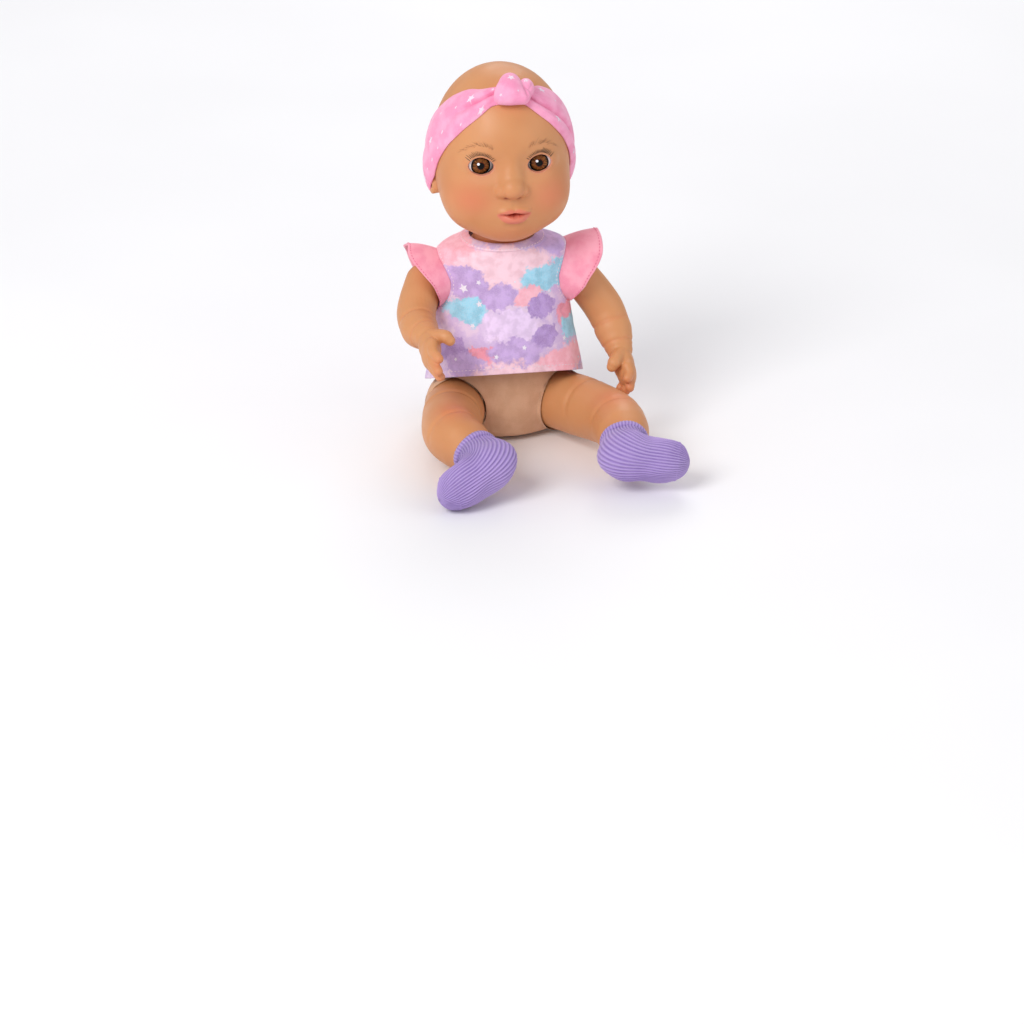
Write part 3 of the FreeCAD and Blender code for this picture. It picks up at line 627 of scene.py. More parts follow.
def band_stars():
    """Pale stars and dots scattered over the band."""
    pieces = []
    spots = []
    tries = 0
    while len(spots) < 60 and tries < 4000:
        tries += 1
        u = RNG.uniform(-math.pi, math.pi)
        v = RNG.uniform(0.10, 0.90)
        if abs(u) < 0.30:
            continue
        here = band_surface(np.array([u]), np.array([v]))[0]
        if any(np.linalg.norm(here - other) < 11.5 for other in spots):
            continue
        spots.append(here)
        big = len(spots) % 2 == 0
        size = 3.2 * (0.8 + 0.35 * RNG.random()) if big else 1.3
        near = band_surface(np.array([u, u + 0.02, u]), np.array([v, v, v + 0.02]))
        width = np.linalg.norm(near[1] - near[0]) / 0.02
        height = np.linalg.norm(near[2] - near[0]) / 0.02

        def place(a, b, u=u, v=v, width=width, height=height):
            points = band_surface(u + a / width, v + b / height)
            return points + unit(points - HEAD_CENTRE) * 0.10

        pieces.append(star_patch(place, size, RNG.uniform(0, 1.2), dot=not big and len(spots) % 3 == 0))
    return join("headband_stars", pieces)


KNOT = np.array([3.0, -30.5, 259.5])
KNOT_OUT = unit([0.05, -0.60, 0.80])
KNOT_UP = unit(np.cross(KNOT_OUT, [1.0, 0.0, 0.0]))
KNOT_AXES = np.array([np.cross(KNOT_UP, KNOT_OUT), KNOT_UP, KNOT_OUT])      # across, up and out


def knot_form(q):
    """Wrapped knot in its own axes: across, up the head and out from it."""
    main = ellipsoid(q, (-1.0, 4.0, -1), (7.6, 8.2, 8.6))
    main = blend_in(main, capsule(q, (-8.0, -6.2, 0.0), (6.0, -6.4, 0.5), 5.4, 5.6), 6.0)
    main = blend_in(main, ellipsoid(q, (-2.0, -2.0, 1.0), (9.6, 8.6, 8.6)), 3.0)
    main = carve(main, capsule(q, (-13.5, -9.5, 5.0), (-7.5, -1.0, 8.6), 0.7, 0.4), 2.0)
    lobe = ellipsoid(q, (9.8, 1.2, -1.5), (5.6, 7.2, 6.4))
    lobe = carve(lobe, capsule(q, (10.5, -5, 4.4), (14.5, 3, 3.4), 0.6, 0.4), 1.6)
    d = blend_in(main, lobe, 0.6)
    return carve(d, capsule(q, (3.6, 11, 7.0), (9.0, -8, 5.0), 0.9, 1.0), 1.6)


def knot_mesh():
    """The wrapped knot: a fold of jersey that comes over the band and tucks under itself."""
    rows, columns = 110, 150
    pp, tt = grid(np.linspace(0.01, math.pi - 0.01, rows), full_turn(columns))
    local = np.stack([np.cos(pp), np.sin(pp) * np.sin(tt), np.sin(pp) * np.cos(tt)], -1).reshape(-1, 3)
    start = np.array([2.5, 0.0, -1.0])
    hit = ray_hit(knot_form, start, local, 1, 26)
    knot = make_mesh("knot_cloth", KNOT + hit @ KNOT_AXES, capped_faces(rows, columns))
    smooth_mesh(knot, 1)
    return knot


def knot_stars():
    """The few stars that show on the knot."""
    pieces = []
    for across, up, size in ((-1.5, 3.8, 2.9), (9.2, 3.8, 2.2), (-9.5, -8.0, 1.1), (2.2, -6.5, 0.8)):

        def place(a, b, across=across, up=up):
            flat = np.stack([across + a, up + b, np.full_like(a, -2.0)], -1)
            ahead = np.tile(np.array([0.0, 0.0, 1.0]), (len(flat), 1))
            hit = ray_hit(knot_form, flat, ahead, 0, 26) + ahead * 0.12
            return KNOT + hit @ KNOT_AXES

        pieces.append(star_patch(place, size, 0.3 * across))
    return join("knot_stars", pieces)


# ---------------------------------------------------------------- dress
# Height, half width, half depth and middle of the dress, bottom to top
DRESS_SECTIONS = np.array([
    (8, 63.5, 57, -1), (44, 58.5, 49.5, -1), (70, 53, 42, -1), (95, 48.3, 35.5, -0.5), (112, 47, 32, 0),
    (126, 47.6, 29.8, 0), (134, 46.2, 28.4, -0.6), (139.6, 40.5, 26.8, -1.4), (143.2, 31, 25, -2.2),
    (145.4, 25.2, 23.2, -2.6), (146.8, 22.4, 21.6, -2.8)], dtype=float)
DRESS_DENSE = curve_through(DRESS_SECTIONS, 400)
ARMHOLE_LENGTH, ARMHOLE_DEPTH = 17.8, 18.0       # half length, and depth below the shoulder's axis
ARMHOLE_HEIGHT = {-1: 23.0, 1: 26.0}             # above the axis; the doll's left shoulder is held higher


def armhole_rim(sign, theta, grow=0.0):
    """The armhole's edge over the shoulder: theta is 0 at its top and grows towards the front."""
    tall = np.where(np.cos(theta) > 0, ARMHOLE_HEIGHT[sign], ARMHOLE_DEPTH) + grow
    return -(ARMHOLE_LENGTH + grow) * np.sin(theta), SHOULDER[2] + tall * np.cos(theta)


def inside_armhole(x, y, z):
    """Below 1 inside the armhole's edge."""
    up = z - SHOULDER[2]
    tall = np.where(x < 0, ARMHOLE_HEIGHT[-1], ARMHOLE_HEIGHT[1])
    return np.hypot(y / ARMHOLE_LENGTH, up / np.where(up > 0, tall, ARMHOLE_DEPTH))


def dress_section(z):
    """Half width, half depth and middle of the dress at a height."""
    return [np.interp(z, DRESS_DENSE[:, 0], DRESS_DENSE[:, k]) for k in (1, 2, 3)]


def hem_height(y):
    return 60.5 - 0.4184 * (y + 51)


def dress_point(phi, z, lift=0.0):
    """Point on the dress: phi is the angle round from the front towards the doll's left."""
    half_x, half_y, middle = dress_section(z)
    low = smooth_step(95 - z, 0, 75)
    wave = 2.0 * np.cos(6 * phi + 0.7) + 1.1 * np.cos(11 * phi + 2.1 + 0.02 * z)
    wave = wave + 0.6 * np.cos(19 * phi + 0.4)
    pull = 0.0
    for side, sign in SIDES.items():
        for turn, place, depth in ((1.05, 92, 0.8), (0.85, 104, 0.6), (1.2, 80, 0.7), (0.95, 118, 0.45)):
            slope = (z - place) - 16 * (turn - sign * phi)
            pull = pull - depth * bump((slope / 3.2) ** 2 + ((sign * phi - turn) / 0.32) ** 2)
    drape = low * wave + pull + lift - 0.35
    narrow = 6.5 * smooth_step(92 - z, 0, 34) * np.maximum(0, -np.sin(phi)) ** 2
    square = 3.2 * bump(((z - 140) / 4.2) ** 2) * np.maximum(0, np.sin(phi)) ** 2
    x = (half_x + drape) * np.sin(phi) + narrow + square
    y = middle - (half_y + drape) * np.cos(phi)
    return np.stack([x, y, np.broadcast_to(z, np.shape(x)) + 0.0], -1)


def hem_at(phi):
    """Height of the hem at an angle round the dress."""
    z = hem_height(-1 - 52 * np.cos(phi))
    for _ in range(4):
        z = hem_height(dress_point(phi, z)[..., 1])
    return z


def side_of_dress(sign, y, z, lift=0.0):
    """Point on one side of the dress, by its place front to back and its height."""
    _, half_y, middle = dress_section(z)
    return dress_point(sign * np.arccos(np.clip((middle - y) / half_y, -1, 1)), z, lift)


def dress_mesh():
    """The dress from its neckline to its hem, with the armholes cut out."""
    around, down = 320, 150
    vv, pp = grid(np.linspace(0, 1, down), np.linspace(-math.pi, math.pi, around, endpoint=False))
    top = 146.0
    z = top + (hem_at(pp) - top) * vv
    points = dress_point(pp, z).reshape(-1, 3)
    faces = grid_faces(down, around)[:, ::-1]
    inside = inside_armhole(points[:, 0], points[:, 1], points[:, 2])
    outside = inside[faces].mean(1) > 1.0
    kept = faces[outside]
    rim = np.intersect1d(np.unique(faces[~outside]), np.unique(kept))
    sign = np.sign(points[rim, 0])
    for _ in range(3):
        y, up = points[rim, 1], points[rim, 2] - SHOULDER[2]
        scale = 1 / inside_armhole(sign, y, up + SHOULDER[2])
        points[rim] = side_of_dress(sign, y * scale, up * scale + SHOULDER[2])
    used = np.unique(kept)
    index = -np.ones(len(points), int)
    index[used] = np.arange(len(used))
    dress = make_mesh("dress_cloth", points[used], index[kept])
    print_place(dress)
    thicken(dress, CLOTH_WALL, -1.0)
    return dress


def print_place(obj):
    """Keeps each point's place on the flat cloth, for the print and the weave."""
    p = verts_mm(obj)
    set_vector(obj, "print_place", np.stack([p[:, 0] * 1.05, p[:, 2], p[:, 1]], -1))


BINDING_WIDTH = 6.4
CLOTH_WALL, SLEEVE_WALL = 0.9, 0.6


def binding_height(phi, down):
    """Height at a distance down the dress's surface from its top edge."""
    heights = np.linspace(146.6, 132, 90)
    half_x, half_y, _ = dress_section(heights)
    at_side, at_front = [
        np.interp(down, np.r_[0, np.cumsum(np.hypot(np.diff(half), np.diff(heights)))], heights)
        for half in (half_x, half_y)]
    side = np.abs(np.sin(phi))
    return side ** 2 * at_side + (1 - side ** 2) * at_front


def binding_mesh():
    """The neck binding: a folded band sewn round the neckline."""
    around, ring = 200, 20
    pp, tt = grid(np.linspace(-math.pi, math.pi, around, endpoint=False), full_turn(ring))
    share = 0.5 + 0.5 * np.cos(tt)
    z = binding_height(pp, BINDING_WIDTH * (1 - share))
    swell = 1.0 * np.sqrt(np.maximum(0, 1 - np.cos(tt) ** 6)) * np.sign(np.sin(tt))
    points = dress_point(pp, z, 0.45 + np.where(swell > 0, swell, 0.6 * swell))
    faces = loop_faces(around, ring)[:, [0, 3, 2, 1]]
    binding = make_mesh("neck_binding_cloth", points.reshape(-1, 3), faces)
    print_place(binding)
    return binding


def stitch_row(line, length=1.5, gap=1.1, radius=0.21):
    """A row of thread stitches that lie along a line of points on the cloth."""
    line = np.asarray(line)
    steps = np.r_[0, np.cumsum(np.linalg.norm(np.diff(line, axis=0), axis=1))]
    pieces = []
    at = gap / 2
    while at + length < steps[-1]:
        s = np.linspace(at, at + length, 5)
        spine = np.stack([np.interp(s, steps, line[:, k]) for k in range(3)], -1)
        along = unit(spine[-1] - spine[0])
        side = unit(np.cross(along, [0.3, -0.9, 0.31]))
        over = np.cross(side, along)
        sizes = radius * np.array([0.35, 0.95, 1.05, 0.95, 0.35])
        section = np.stack([math.cos(a) * side + math.sin(a) * over for a in full_turn(6)])
        rows = np.concatenate([spine[i] + sizes[i] * section for i in range(5)])
        pieces.append((rows, capped_faces(5, 6)))
        at += length + gap
    return pieces


def dress_stitches():
    """Topstitching round the binding, the armholes and the hem."""
    phi = np.linspace(-math.pi, math.pi, 500)
    pieces = stitch_row(dress_point(phi, binding_height(phi, np.full(500, 4.6)), 1.4), 1.6, 1.2, 0.28)
    pieces += stitch_row(dress_point(phi, hem_at(phi) + 4.0, 0.12), 1.6, 1.2)
    for sign in (-1, 1):
        y, z = armhole_rim(sign, np.linspace(-2.75, 2.75, 260), 2.3)
        pieces += stitch_row(side_of_dress(sign, y, z, 0.15), 1.5, 1.2, 0.27)
    return join("dress_stitches", pieces)


# Stars of the dress: across, up and radius
DRESS_STARS = [(-30, 115, 3.5), (-20, 120, 2), (-20, 105, 2.5), (-25, 90, 2), (-10, 70, 2), (10, 75, 2),
               (30, 110, 1.5), (40, 75, 2), (-40, 65, 1.5), (5, 120, 1)]


def dress_stars():
    """The stars of the front, and more scattered round the rest of the dress."""
    pieces = []
    spots = [(math.asin(across / dress_section(up)[0]), up, size) for across, up, size in DRESS_STARS]
    tries = 0
    while len(spots) < 46 and tries < 3000:
        tries += 1
        phi = RNG.uniform(-math.pi, math.pi)
        z = RNG.uniform(28, 136)
        point = dress_point(np.array([phi]), np.array([z]))[0]
        if abs(phi) < 1.15 and z > 62 or z < hem_at(np.array([phi]))[0] + 8:
            continue
        if math.hypot(point[1], point[2] - SHOULDER[2]) < 27:
            continue
        spots.append((phi, z, RNG.uniform(1.1, 2.6)))
    for phi0, z0, size in spots:

        def place(a, b, phi0=phi0, z0=z0):
            half_x, half_y, _ = dress_section(z0)
            radius = math.hypot(half_x * math.cos(phi0), half_y * math.sin(phi0))
            return dress_point(phi0 + a / radius, z0 + b, 0.09)

        pieces.append(star_patch(place, size, RNG.uniform(0, 1.2)))
    return join("dress_stars", pieces)


# ---------------------------------------------------------------- flutter sleeves
def sleeve_point(side, theta, v, lift=0.0):
    """theta runs over the shoulder from the armpit's front to its back, v from the seam to the hem."""
    sign = SIDES[side]
    lean = 0.45 if side == "right" else 0.0     # the right sleeve stands out more behind the arm
    width = 0.07 + 0.93 * (1 - smooth_step(np.abs(theta + lean * (1 - (theta / 2.62) ** 2)), 0.75, 2.65))
    reach = v * width
    ruffle = (0.8 * np.sin(3.1 * theta + 0.6 * sign) + 0.5 * np.sin(5.3 * theta + 1.0)) * v ** 2 * width
    rise = 5.2 * (1 - (1 - reach) ** 2.2) + ruffle + lift
    seam_y, seam_z = armhole_rim(sign, theta, 0.2)
    seam_x = sign * side_of_dress(sign, seam_y, seam_z)[..., 0] - 0.3
    out = (23.0 if side == "right" else 26.0) * width - 2.6 * bump((theta / 0.5) ** 2)
    x = seam_x + out * (1 - (1 - v) ** 1.3) - 0.4 * ruffle + 0.5 * lift
    y = seam_y - rise * np.sin(theta) * 1.5
    z = seam_z + rise * np.cos(theta) - 1.5 * v * np.abs(np.sin(theta)) * width
    return np.stack([sign * x, y, z], -1)


def sleeve_mesh(side):
    """The flutter sleeve, whose hem turns under."""
    around, out, under = 150, 34, 8
    tt, vv = grid(np.linspace(-2.62, 2.62, around), np.linspace(0, 1, out))
    turned = 1.0 - 0.16 * np.linspace(0.15, 1, under)[None, :].repeat(around, 0)
    fold = sleeve_point(side, tt[:, :under], turned, -0.75)
    rows = np.concatenate([sleeve_point(side, tt, vv), fold], axis=1)
    faces = grid_faces(around, rows.shape[1], wrap=False)
    if SIDES[side] < 0:
        faces = faces[:, ::-1]
    sleeve = make_mesh("sleeve_cloth_" + side, rows.reshape(-1, 3), faces)
    thicken(sleeve, SLEEVE_WALL, 0.0)
    push_off_arm(sleeve, side)
    return sleeve


def push_off_arm(obj, side):
    """Keeps the cloth just outside the arm."""
    p = verts_mm(obj)
    path = curve_through(ARM_PATHS[side], 60)
    radii = arm_radii(60) + 0.7
    gap = p[:, None, :] - path[None, :, :]
    distance = np.linalg.norm(gap, axis=2) - radii
    nearest = distance.argmin(1)
    inside = distance[np.arange(len(p)), nearest] < 0
    away = unit(p - path[nearest])
    away = unit(away + [SIDES[side] * 0.4, 0, 0])
    p[inside] = path[nearest[inside]] + away[inside] * radii[nearest[inside]][:, None]
    set_verts_mm(obj, p)


def sleeve_stitches(side):
    """Topstitching along the sleeve's hem."""
    line = sleeve_point(side, np.linspace(-2.4, 2.4, 200), np.full(200, 0.84), 0.5)
    return join("sleeve_stitches_" + side, stitch_row(line, 1.4, 1.0, 0.28))


# ---------------------------------------------------------------- arms and hands
ARM_PATHS = {"right": [(-54, 0, 112), (-62, -19, 98), (-62.5, -37, 92.5), (-59.5, -53, 93)],
             "left": [(54, 0, 112), (71, -3, 88), (77, -12, 74), (80, -23, 62)]}
HAND_TIPS = {"right": (-57.5, -94, 78.5), "left": (84, -49, 38)}
THUMB_TIPS = {"right": (-43.5, -72, 96), "left": (69.5, -44, 56)}
ELBOW_AT = {"right": 0.56, "left": 0.60}                          # share of the arm's path
ELBOW_INSIDE = {"right": (0, -0.3, 1.0), "left": (-0.5, -0.8, 0.2)}
# Fingers: level in the hand, share of its reach, radius and curl towards the palm
FINGERS = [(9.2, 0.85, 3.9, 1.2), (3.2, 0.98, 4.0, 0.4), (-3.0, 0.95, 3.9, 1.3), (-8.8, 0.80, 3.5, 2.8)]


def tube(points, radii, sides=28):
    """Closed tube along points, with rounded ends."""
    along = unit(np.gradient(points, axis=0))
    side = unit(np.cross(along, [0.0, 0.0, 1.0]))
    over = np.cross(side, along)
    cap = np.linspace(0.12, 1.0, 6)[:-1] * math.pi / 2
    last = len(points) - 1
    rows = [(points[0] - along[0] * radii[0] * math.cos(a), math.sin(a) * radii[0], 0) for a in cap]
    rows += [(points[i], radii[i], i) for i in range(len(points))]
    rows += [(points[-1] + along[-1] * radii[-1] * math.cos(a), math.sin(a) * radii[-1], last)
             for a in cap[::-1]]
    turn = full_turn(sides)[:, None]
    verts = [centre + size * (np.cos(turn) * side[i] + np.sin(turn) * over[i]) for centre, size, i in rows]
    return np.concatenate(verts), capped_faces(len(rows), sides)


def blob(centre, radii, axes):
    """Ellipsoid with its own axes."""
    rings, sides = 14, 24
    pp, tt = grid(np.linspace(0.08, math.pi - 0.08, rings), full_turn(sides))
    local = np.stack([np.sin(pp) * np.cos(tt), np.sin(pp) * np.sin(tt), np.cos(pp)], -1) * np.asarray(radii)
    return centre + local.reshape(-1, 3) @ axes, capped_faces(rings, sides)


def melt(name, pieces, voxel, smooth):
    """Joins overlapping forms into one skin."""
    obj = join(name, pieces)
    modifier = obj.modifiers.new("skin", "REMESH")
    modifier.mode = "VOXEL"
    modifier.voxel_size = voxel * MM
    modifier.use_smooth_shade = True
    apply_modifiers(obj)
    smooth_mesh(obj, smooth)
    return obj


def crease(obj, centre, normal, depth, width, facing=None):
    """Presses a soft groove round a limb."""
    p = verts_mm(obj)
    normal = unit(np.asarray(normal, float))
    offset = (p - centre) @ normal
    radial = (p - centre) - offset[:, None] * normal
    near = np.linalg.norm(radial, axis=1) < 26
    banks = [bump(((offset + way * 2.6 * width) / (1.8 * width)) ** 2) for way in (-1, 1)]
    strength = depth * bump((offset / width) ** 2) - 0.25 * depth * (banks[0] + banks[1])
    if facing is not None:
        strength = strength * smooth_step(unit(radial) @ unit(np.asarray(facing, float)), -0.5, 0.5)
    set_verts_mm(obj, p - unit(radial) * (strength * near)[:, None])


def blush_and_shade_only(obj, blush_and_shade):
    """The blush of a limb, with painted shade in its creases where it has any, and the face's other masks left
    empty.
    """
    set_mask(obj, "blush_and_shade", blush_and_shade)
    for empty in ("lips", "mouth", "rim", "nostril_shade", "warm"):
        set_mask(obj, empty, np.zeros(len(blush_and_shade)))


def arm_radii(count):
    """Radii along the arm, from the shoulder to the wrist."""
    t = np.linspace(0, 1, count)
    return np.interp(t, [0, 0.15, 0.36, 0.56, 0.72, 0.88, 1.0], [13.0, 13.5, 13.6, 13.0, 12.9, 11.0, 9.2])


def arm_mesh(side):
    """Arm and hand: tubes and blobs melted into one skin, with creases at the elbow and wrist."""
    sign = SIDES[side]
    path = curve_through(ARM_PATHS[side], 60)
    pieces = [tube(path, arm_radii(60))]
    wrist = path[-1]
    tip = np.array(HAND_TIPS[side], float)
    thumb = np.array(THUMB_TIPS[side], float)
    ahead = unit(tip - wrist)
    stack = unit(np.cross(ahead, [1.0, 0, 0]))
    if stack[2] < 0:
        stack = -stack
    palm = unit(np.cross(ahead, stack)) * -sign
    palm = palm if palm[0] * -sign > 0 else -palm
    axes = np.array([ahead, stack, palm])
    pieces.append(blob(wrist + ahead * 11, (14.5, 10.2, 7.6), axes))
    pieces.append(blob(wrist + ahead * 18 - palm * 0.6, (11.5, 12.0, 6.6), axes))
    reach = np.linalg.norm(tip - wrist)
    for level, share, size, curl in FINGERS:
        start = wrist + ahead * 17 + stack * level * 0.92
        end = wrist + ahead * (reach * share - size) + stack * (level * 1.02 - 0.6) + palm * curl * 1.6
        middle = (start + end) / 2 - palm * 1.7
        line = curve_through([start, middle, end], 24)
        s = np.linspace(0, 1, 24)
        joints = 1 - 0.05 * bump(((s - 0.42) / 0.06) ** 2) - 0.05 * bump(((s - 0.74) / 0.05) ** 2)
        pieces.append(tube(line, size * (1.04 - 0.20 * s) * joints, 18))
    base = wrist + ahead * 6 + stack * 5 + palm * 2
    knuckle = base * 0.45 + thumb * 0.55 + stack * 2.6
    line = curve_through([base, knuckle, thumb - unit(thumb - base) * 3.4], 24)
    s = np.linspace(0, 1, 24)
    pieces.append(tube(line, 5.4 - 1.6 * s + 0.35 * bump(((s - 0.7) / 0.15) ** 2), 18))
    arm = melt("arm_skin_" + side, pieces, 0.7, 4)
    at = int(ELBOW_AT[side] * 59)
    elbow, elbow_axis = path[at], path[at + 1] - path[at - 1]
    crease(arm, elbow, elbow_axis, 0.5, 1.3, ELBOW_INSIDE[side])
    cuff, cuff_axis = path[-6], path[-4] - path[-8]
    crease(arm, cuff, cuff_axis, 0.45, 0.9)
    p = verts_mm(arm)
    tips = np.zeros(len(p))
    for level, share, _, curl in FINGERS:
        end = wrist + ahead * (reach * share) + stack * level * 0.80 + palm * curl * 1.4
        tips = np.maximum(tips, bump((np.linalg.norm(p - end, axis=1) / 6.0) ** 2))
    # Painted shade in the elbow and wrist creases, put into the blush mask with the fingertips' blush.
    folds = bump((((p - elbow) @ unit(elbow_axis)) / 1.6) ** 2) * 0.25
    at_cuff = np.linalg.norm(p - cuff, axis=1) < 16
    folds += bump((((p - cuff) @ unit(cuff_axis)) / 1.2) ** 2) * 0.25 * at_cuff
    blush_and_shade_only(arm, np.clip(0.45 * tips + 0.6 * folds, 0, 1))
    return arm


# ---------------------------------------------------------------- legs and socks
LEG_PATHS = {"right": [(-32, -8, 24), (-41, -44, 27), (-46, -76, 30), (-38, -100, 29), (-29, -120, 27)],
             "left": [(32, -8, 24), (53, -40, 27), (67, -70, 30), (70, -96, 29), (67, -118, 27)]}
TOE_AIMS = {"right": (-0.78, -0.44, -0.40), "left": (0.93, -0.32, -0.16)}


def foot_frame(side):
    """Ankle point, the shin's direction and the toe's direction, square to it."""
    path = LEG_PATHS[side]
    ankle = np.array(path[-1], float)
    shin = unit(ankle - np.array(path[-2], float))
    toe = np.array(TOE_AIMS[side], float)
    toe = unit(toe - shin * (toe @ shin))
    return ankle, shin, toe


def leg_mesh(side):
    """Leg from the hip to inside the sock, with creases at the thigh and knee."""
    path = curve_through(LEG_PATHS[side], 90)
    radii = np.interp(np.linspace(0, 1, 90), [0, 0.2, 0.42, 0.56, 0.72, 0.86, 0.9, 1],
                      [20.8, 21.2, 20.0, 19.4, 18.3, 14.8, 13.6, 12.6])
    leg = melt("leg_skin_" + side, [tube(path, radii, 48)], 1.3, 4)
    crease(leg, path[50], path[51] - path[49], 0.7, 1.6, (0, 0.2, 1))
    crease(leg, path[24], path[25] - path[23], 0.7, 1.6, (0, 0, 1))
    p = verts_mm(leg)
    knee = bump((np.linalg.norm(p - (path[48] + [0, 0, 19]), axis=1) / 13) ** 2)
    blush_and_shade_only(leg, 0.5 * knee)
    return leg


SOCK_WALL = 1.35
RIBS = 46


def foot_form(side, p):
    """The sock's outer form: heel, instep, sole and toe as one soft volume."""
    ankle, shin, toe = foot_frame(side)
    across = np.cross(shin, toe)
    q = p - ankle
    q = np.stack([q @ shin, q @ toe, q @ across], -1)
    d = capsule(q, (-14, 0, 0), (4, 0, 0), 14.2, 14.6)
    d = blend_in(d, ellipsoid(q, (4.5, -1.5, 0), (14.6, 14.6, 13.6)), 4.0)
    d = blend_in(d, ellipsoid(q, (6.5, 13.0, 0), (12.3, 28.5, 14.2)), 6.0)
    d = blend_in(d, ellipsoid(q, (7.0, 26, 0), (10.6, 15.5, 13.6)), 4.0)
    return d - SOCK_WALL


def sock_mesh(side):
    """Ribbed sock, swept from the cuff round the heel to the toe; the ribs run lengthwise."""
    ankle, shin, toe = foot_frame(side)
    across = np.cross(shin, toe)
    sides, k = 520, 15.5
    corner = ankle + shin * 5.5
    pivot = corner + (toe - shin) * k
    stations = []
    for s in np.linspace(-12.2, 5.5 - k, 8)[:-1]:
        stations.append((ankle + shin * s, -toe, shin, 0))
    for a in np.linspace(0, math.pi / 2, 44):
        outward = -toe * math.cos(a) + shin * math.sin(a)
        stations.append((pivot + outward * k, outward, toe * math.sin(a) + shin * math.cos(a), 0))
    last = corner + toe * 27
    for s in np.linspace(k, 27, 10)[1:]:
        stations.append((corner + toe * s, shin, toe, 0))
    for a in np.linspace(0, 1, 26)[1:]:
        stations.append((last, shin, toe, a * math.radians(87)))
    turn = full_turn(sides)
    hits, directions = [], []
    for centre, outward, along, tilt in stations:
        direction = (np.cos(turn)[:, None] * outward + np.sin(turn)[:, None] * across) * math.cos(tilt) \
            + along * math.sin(tilt)
        hit = ray_hit(lambda p: foot_form(side, p), centre, direction, 0.5, 60, 20)
        hits.append(hit)
        directions.append(direction)
    count = len(hits)
    fade = 1 - smooth_step(np.array([station[3] for station in stations]), 0.75, 1.35)
    wander = 0.6 * np.sin(np.linspace(0, 9, count))[:, None] * 0.02
    rib = 0.34 * np.cos(RIBS * (turn[None, :] + wander)) * (0.25 + 0.75 * fade[:, None])
    s = np.arange(count)[:, None]
    slack = 0.5 * np.sin(3 * turn[None, :] + 0.12 * s) + 0.35 * np.sin(5 * turn[None, :] - 0.21 * s + 1)
    instep = turn[None, :] - math.pi
    fold = -1.5 * bump(((s - 26) / 2.6) ** 2) * bump((instep / 0.75) ** 2)
    fold = fold + 0.9 * bump(((s - 20) / 3.0) ** 2) * bump((instep / 0.8) ** 2)
    seam = 0.5 * bump(((s - (count - 17)) / 0.8) ** 2)
    lift = (rib + slack * fade[:, None] + fold + seam)[..., None]
    points = (np.stack(hits) + np.stack(directions) * lift).reshape(-1, 3)
    faces = capped_faces(count, sides)
    del faces[-2]      # the top stays open for the leg
    sock = make_mesh("sock_cloth_" + side, points, faces)
    along_mm = np.repeat(np.arange(count) * 1.0, sides)
    round_mm = np.tile(turn * 15.0, count)
    set_vector(sock, "print_place", np.stack([round_mm, along_mm, 0 * along_mm], -1))
    # The rib mask: 1 on the ribs' crests and 0 in their valleys, for painted shade between the ribs.
    set_mask(sock, "rib", np.tile(0.5 + 0.5 * np.cos(RIBS * turn), count))
    return sock


def cuff_mesh(side):
    """Rolled cuff at the top of the sock."""
    ankle, shin, toe = foot_frame(side)
    across = np.cross(shin, toe)
    around, ring = 240, 20
    tt, ss = grid(full_turn(around), full_turn(ring))
    slip = 0.8 * np.sin(tt + 0.8) + 0.35 * np.sin(3 * tt)
    radius = 15.3 + 0.25 * np.sin(4 * tt)
    out = np.cos(tt)[..., None] * -toe + np.sin(tt)[..., None] * across
    size = 1.9 + 0.12 * np.cos(RIBS * tt)
    points = ankle + shin * (-11.6 + slip)[..., None] + out * (radius + size * np.cos(ss))[..., None] \
        + shin * (size * 1.35 * np.sin(ss))[..., None]
    cuff = make_mesh("sock_cuff_cloth_" + side, points.reshape(-1, 3), loop_faces(around, ring))
    set_vector(cuff, "print_place", np.stack([tt * 15, ss * 1.9, 0 * ss], -1).reshape(-1, 3))
    # The same rib mask, for painted shade between the ribs of the cuff.
    set_mask(cuff, "rib", (0.5 + 0.5 * np.cos(RIBS * tt)).ravel())
    return cuff


# ---------------------------------------------------------------- cloth body
# Height, half width, half depth and middle of the stuffed body, bottom to top
BODY_SECTIONS = np.array([
    (0.4, 35, 24, 5), (3, 41.5, 31, 4), (8, 44.5, 34.8, 2.5), (24, 46, 36.5, 1), (50, 43.7, 34, 0),
    (75, 40.2, 30.6, 0), (100, 38.0, 28.0, 0), (120, 36.8, 25.0, 0), (132, 31.5, 22.6, -1),
    (139, 23.5, 20.8, -2), (143.4, 21.0, 20.1, -2.6)], dtype=float)


LEG_HOLLOW = 22.2      # radius of the soft hollow that each leg sits in


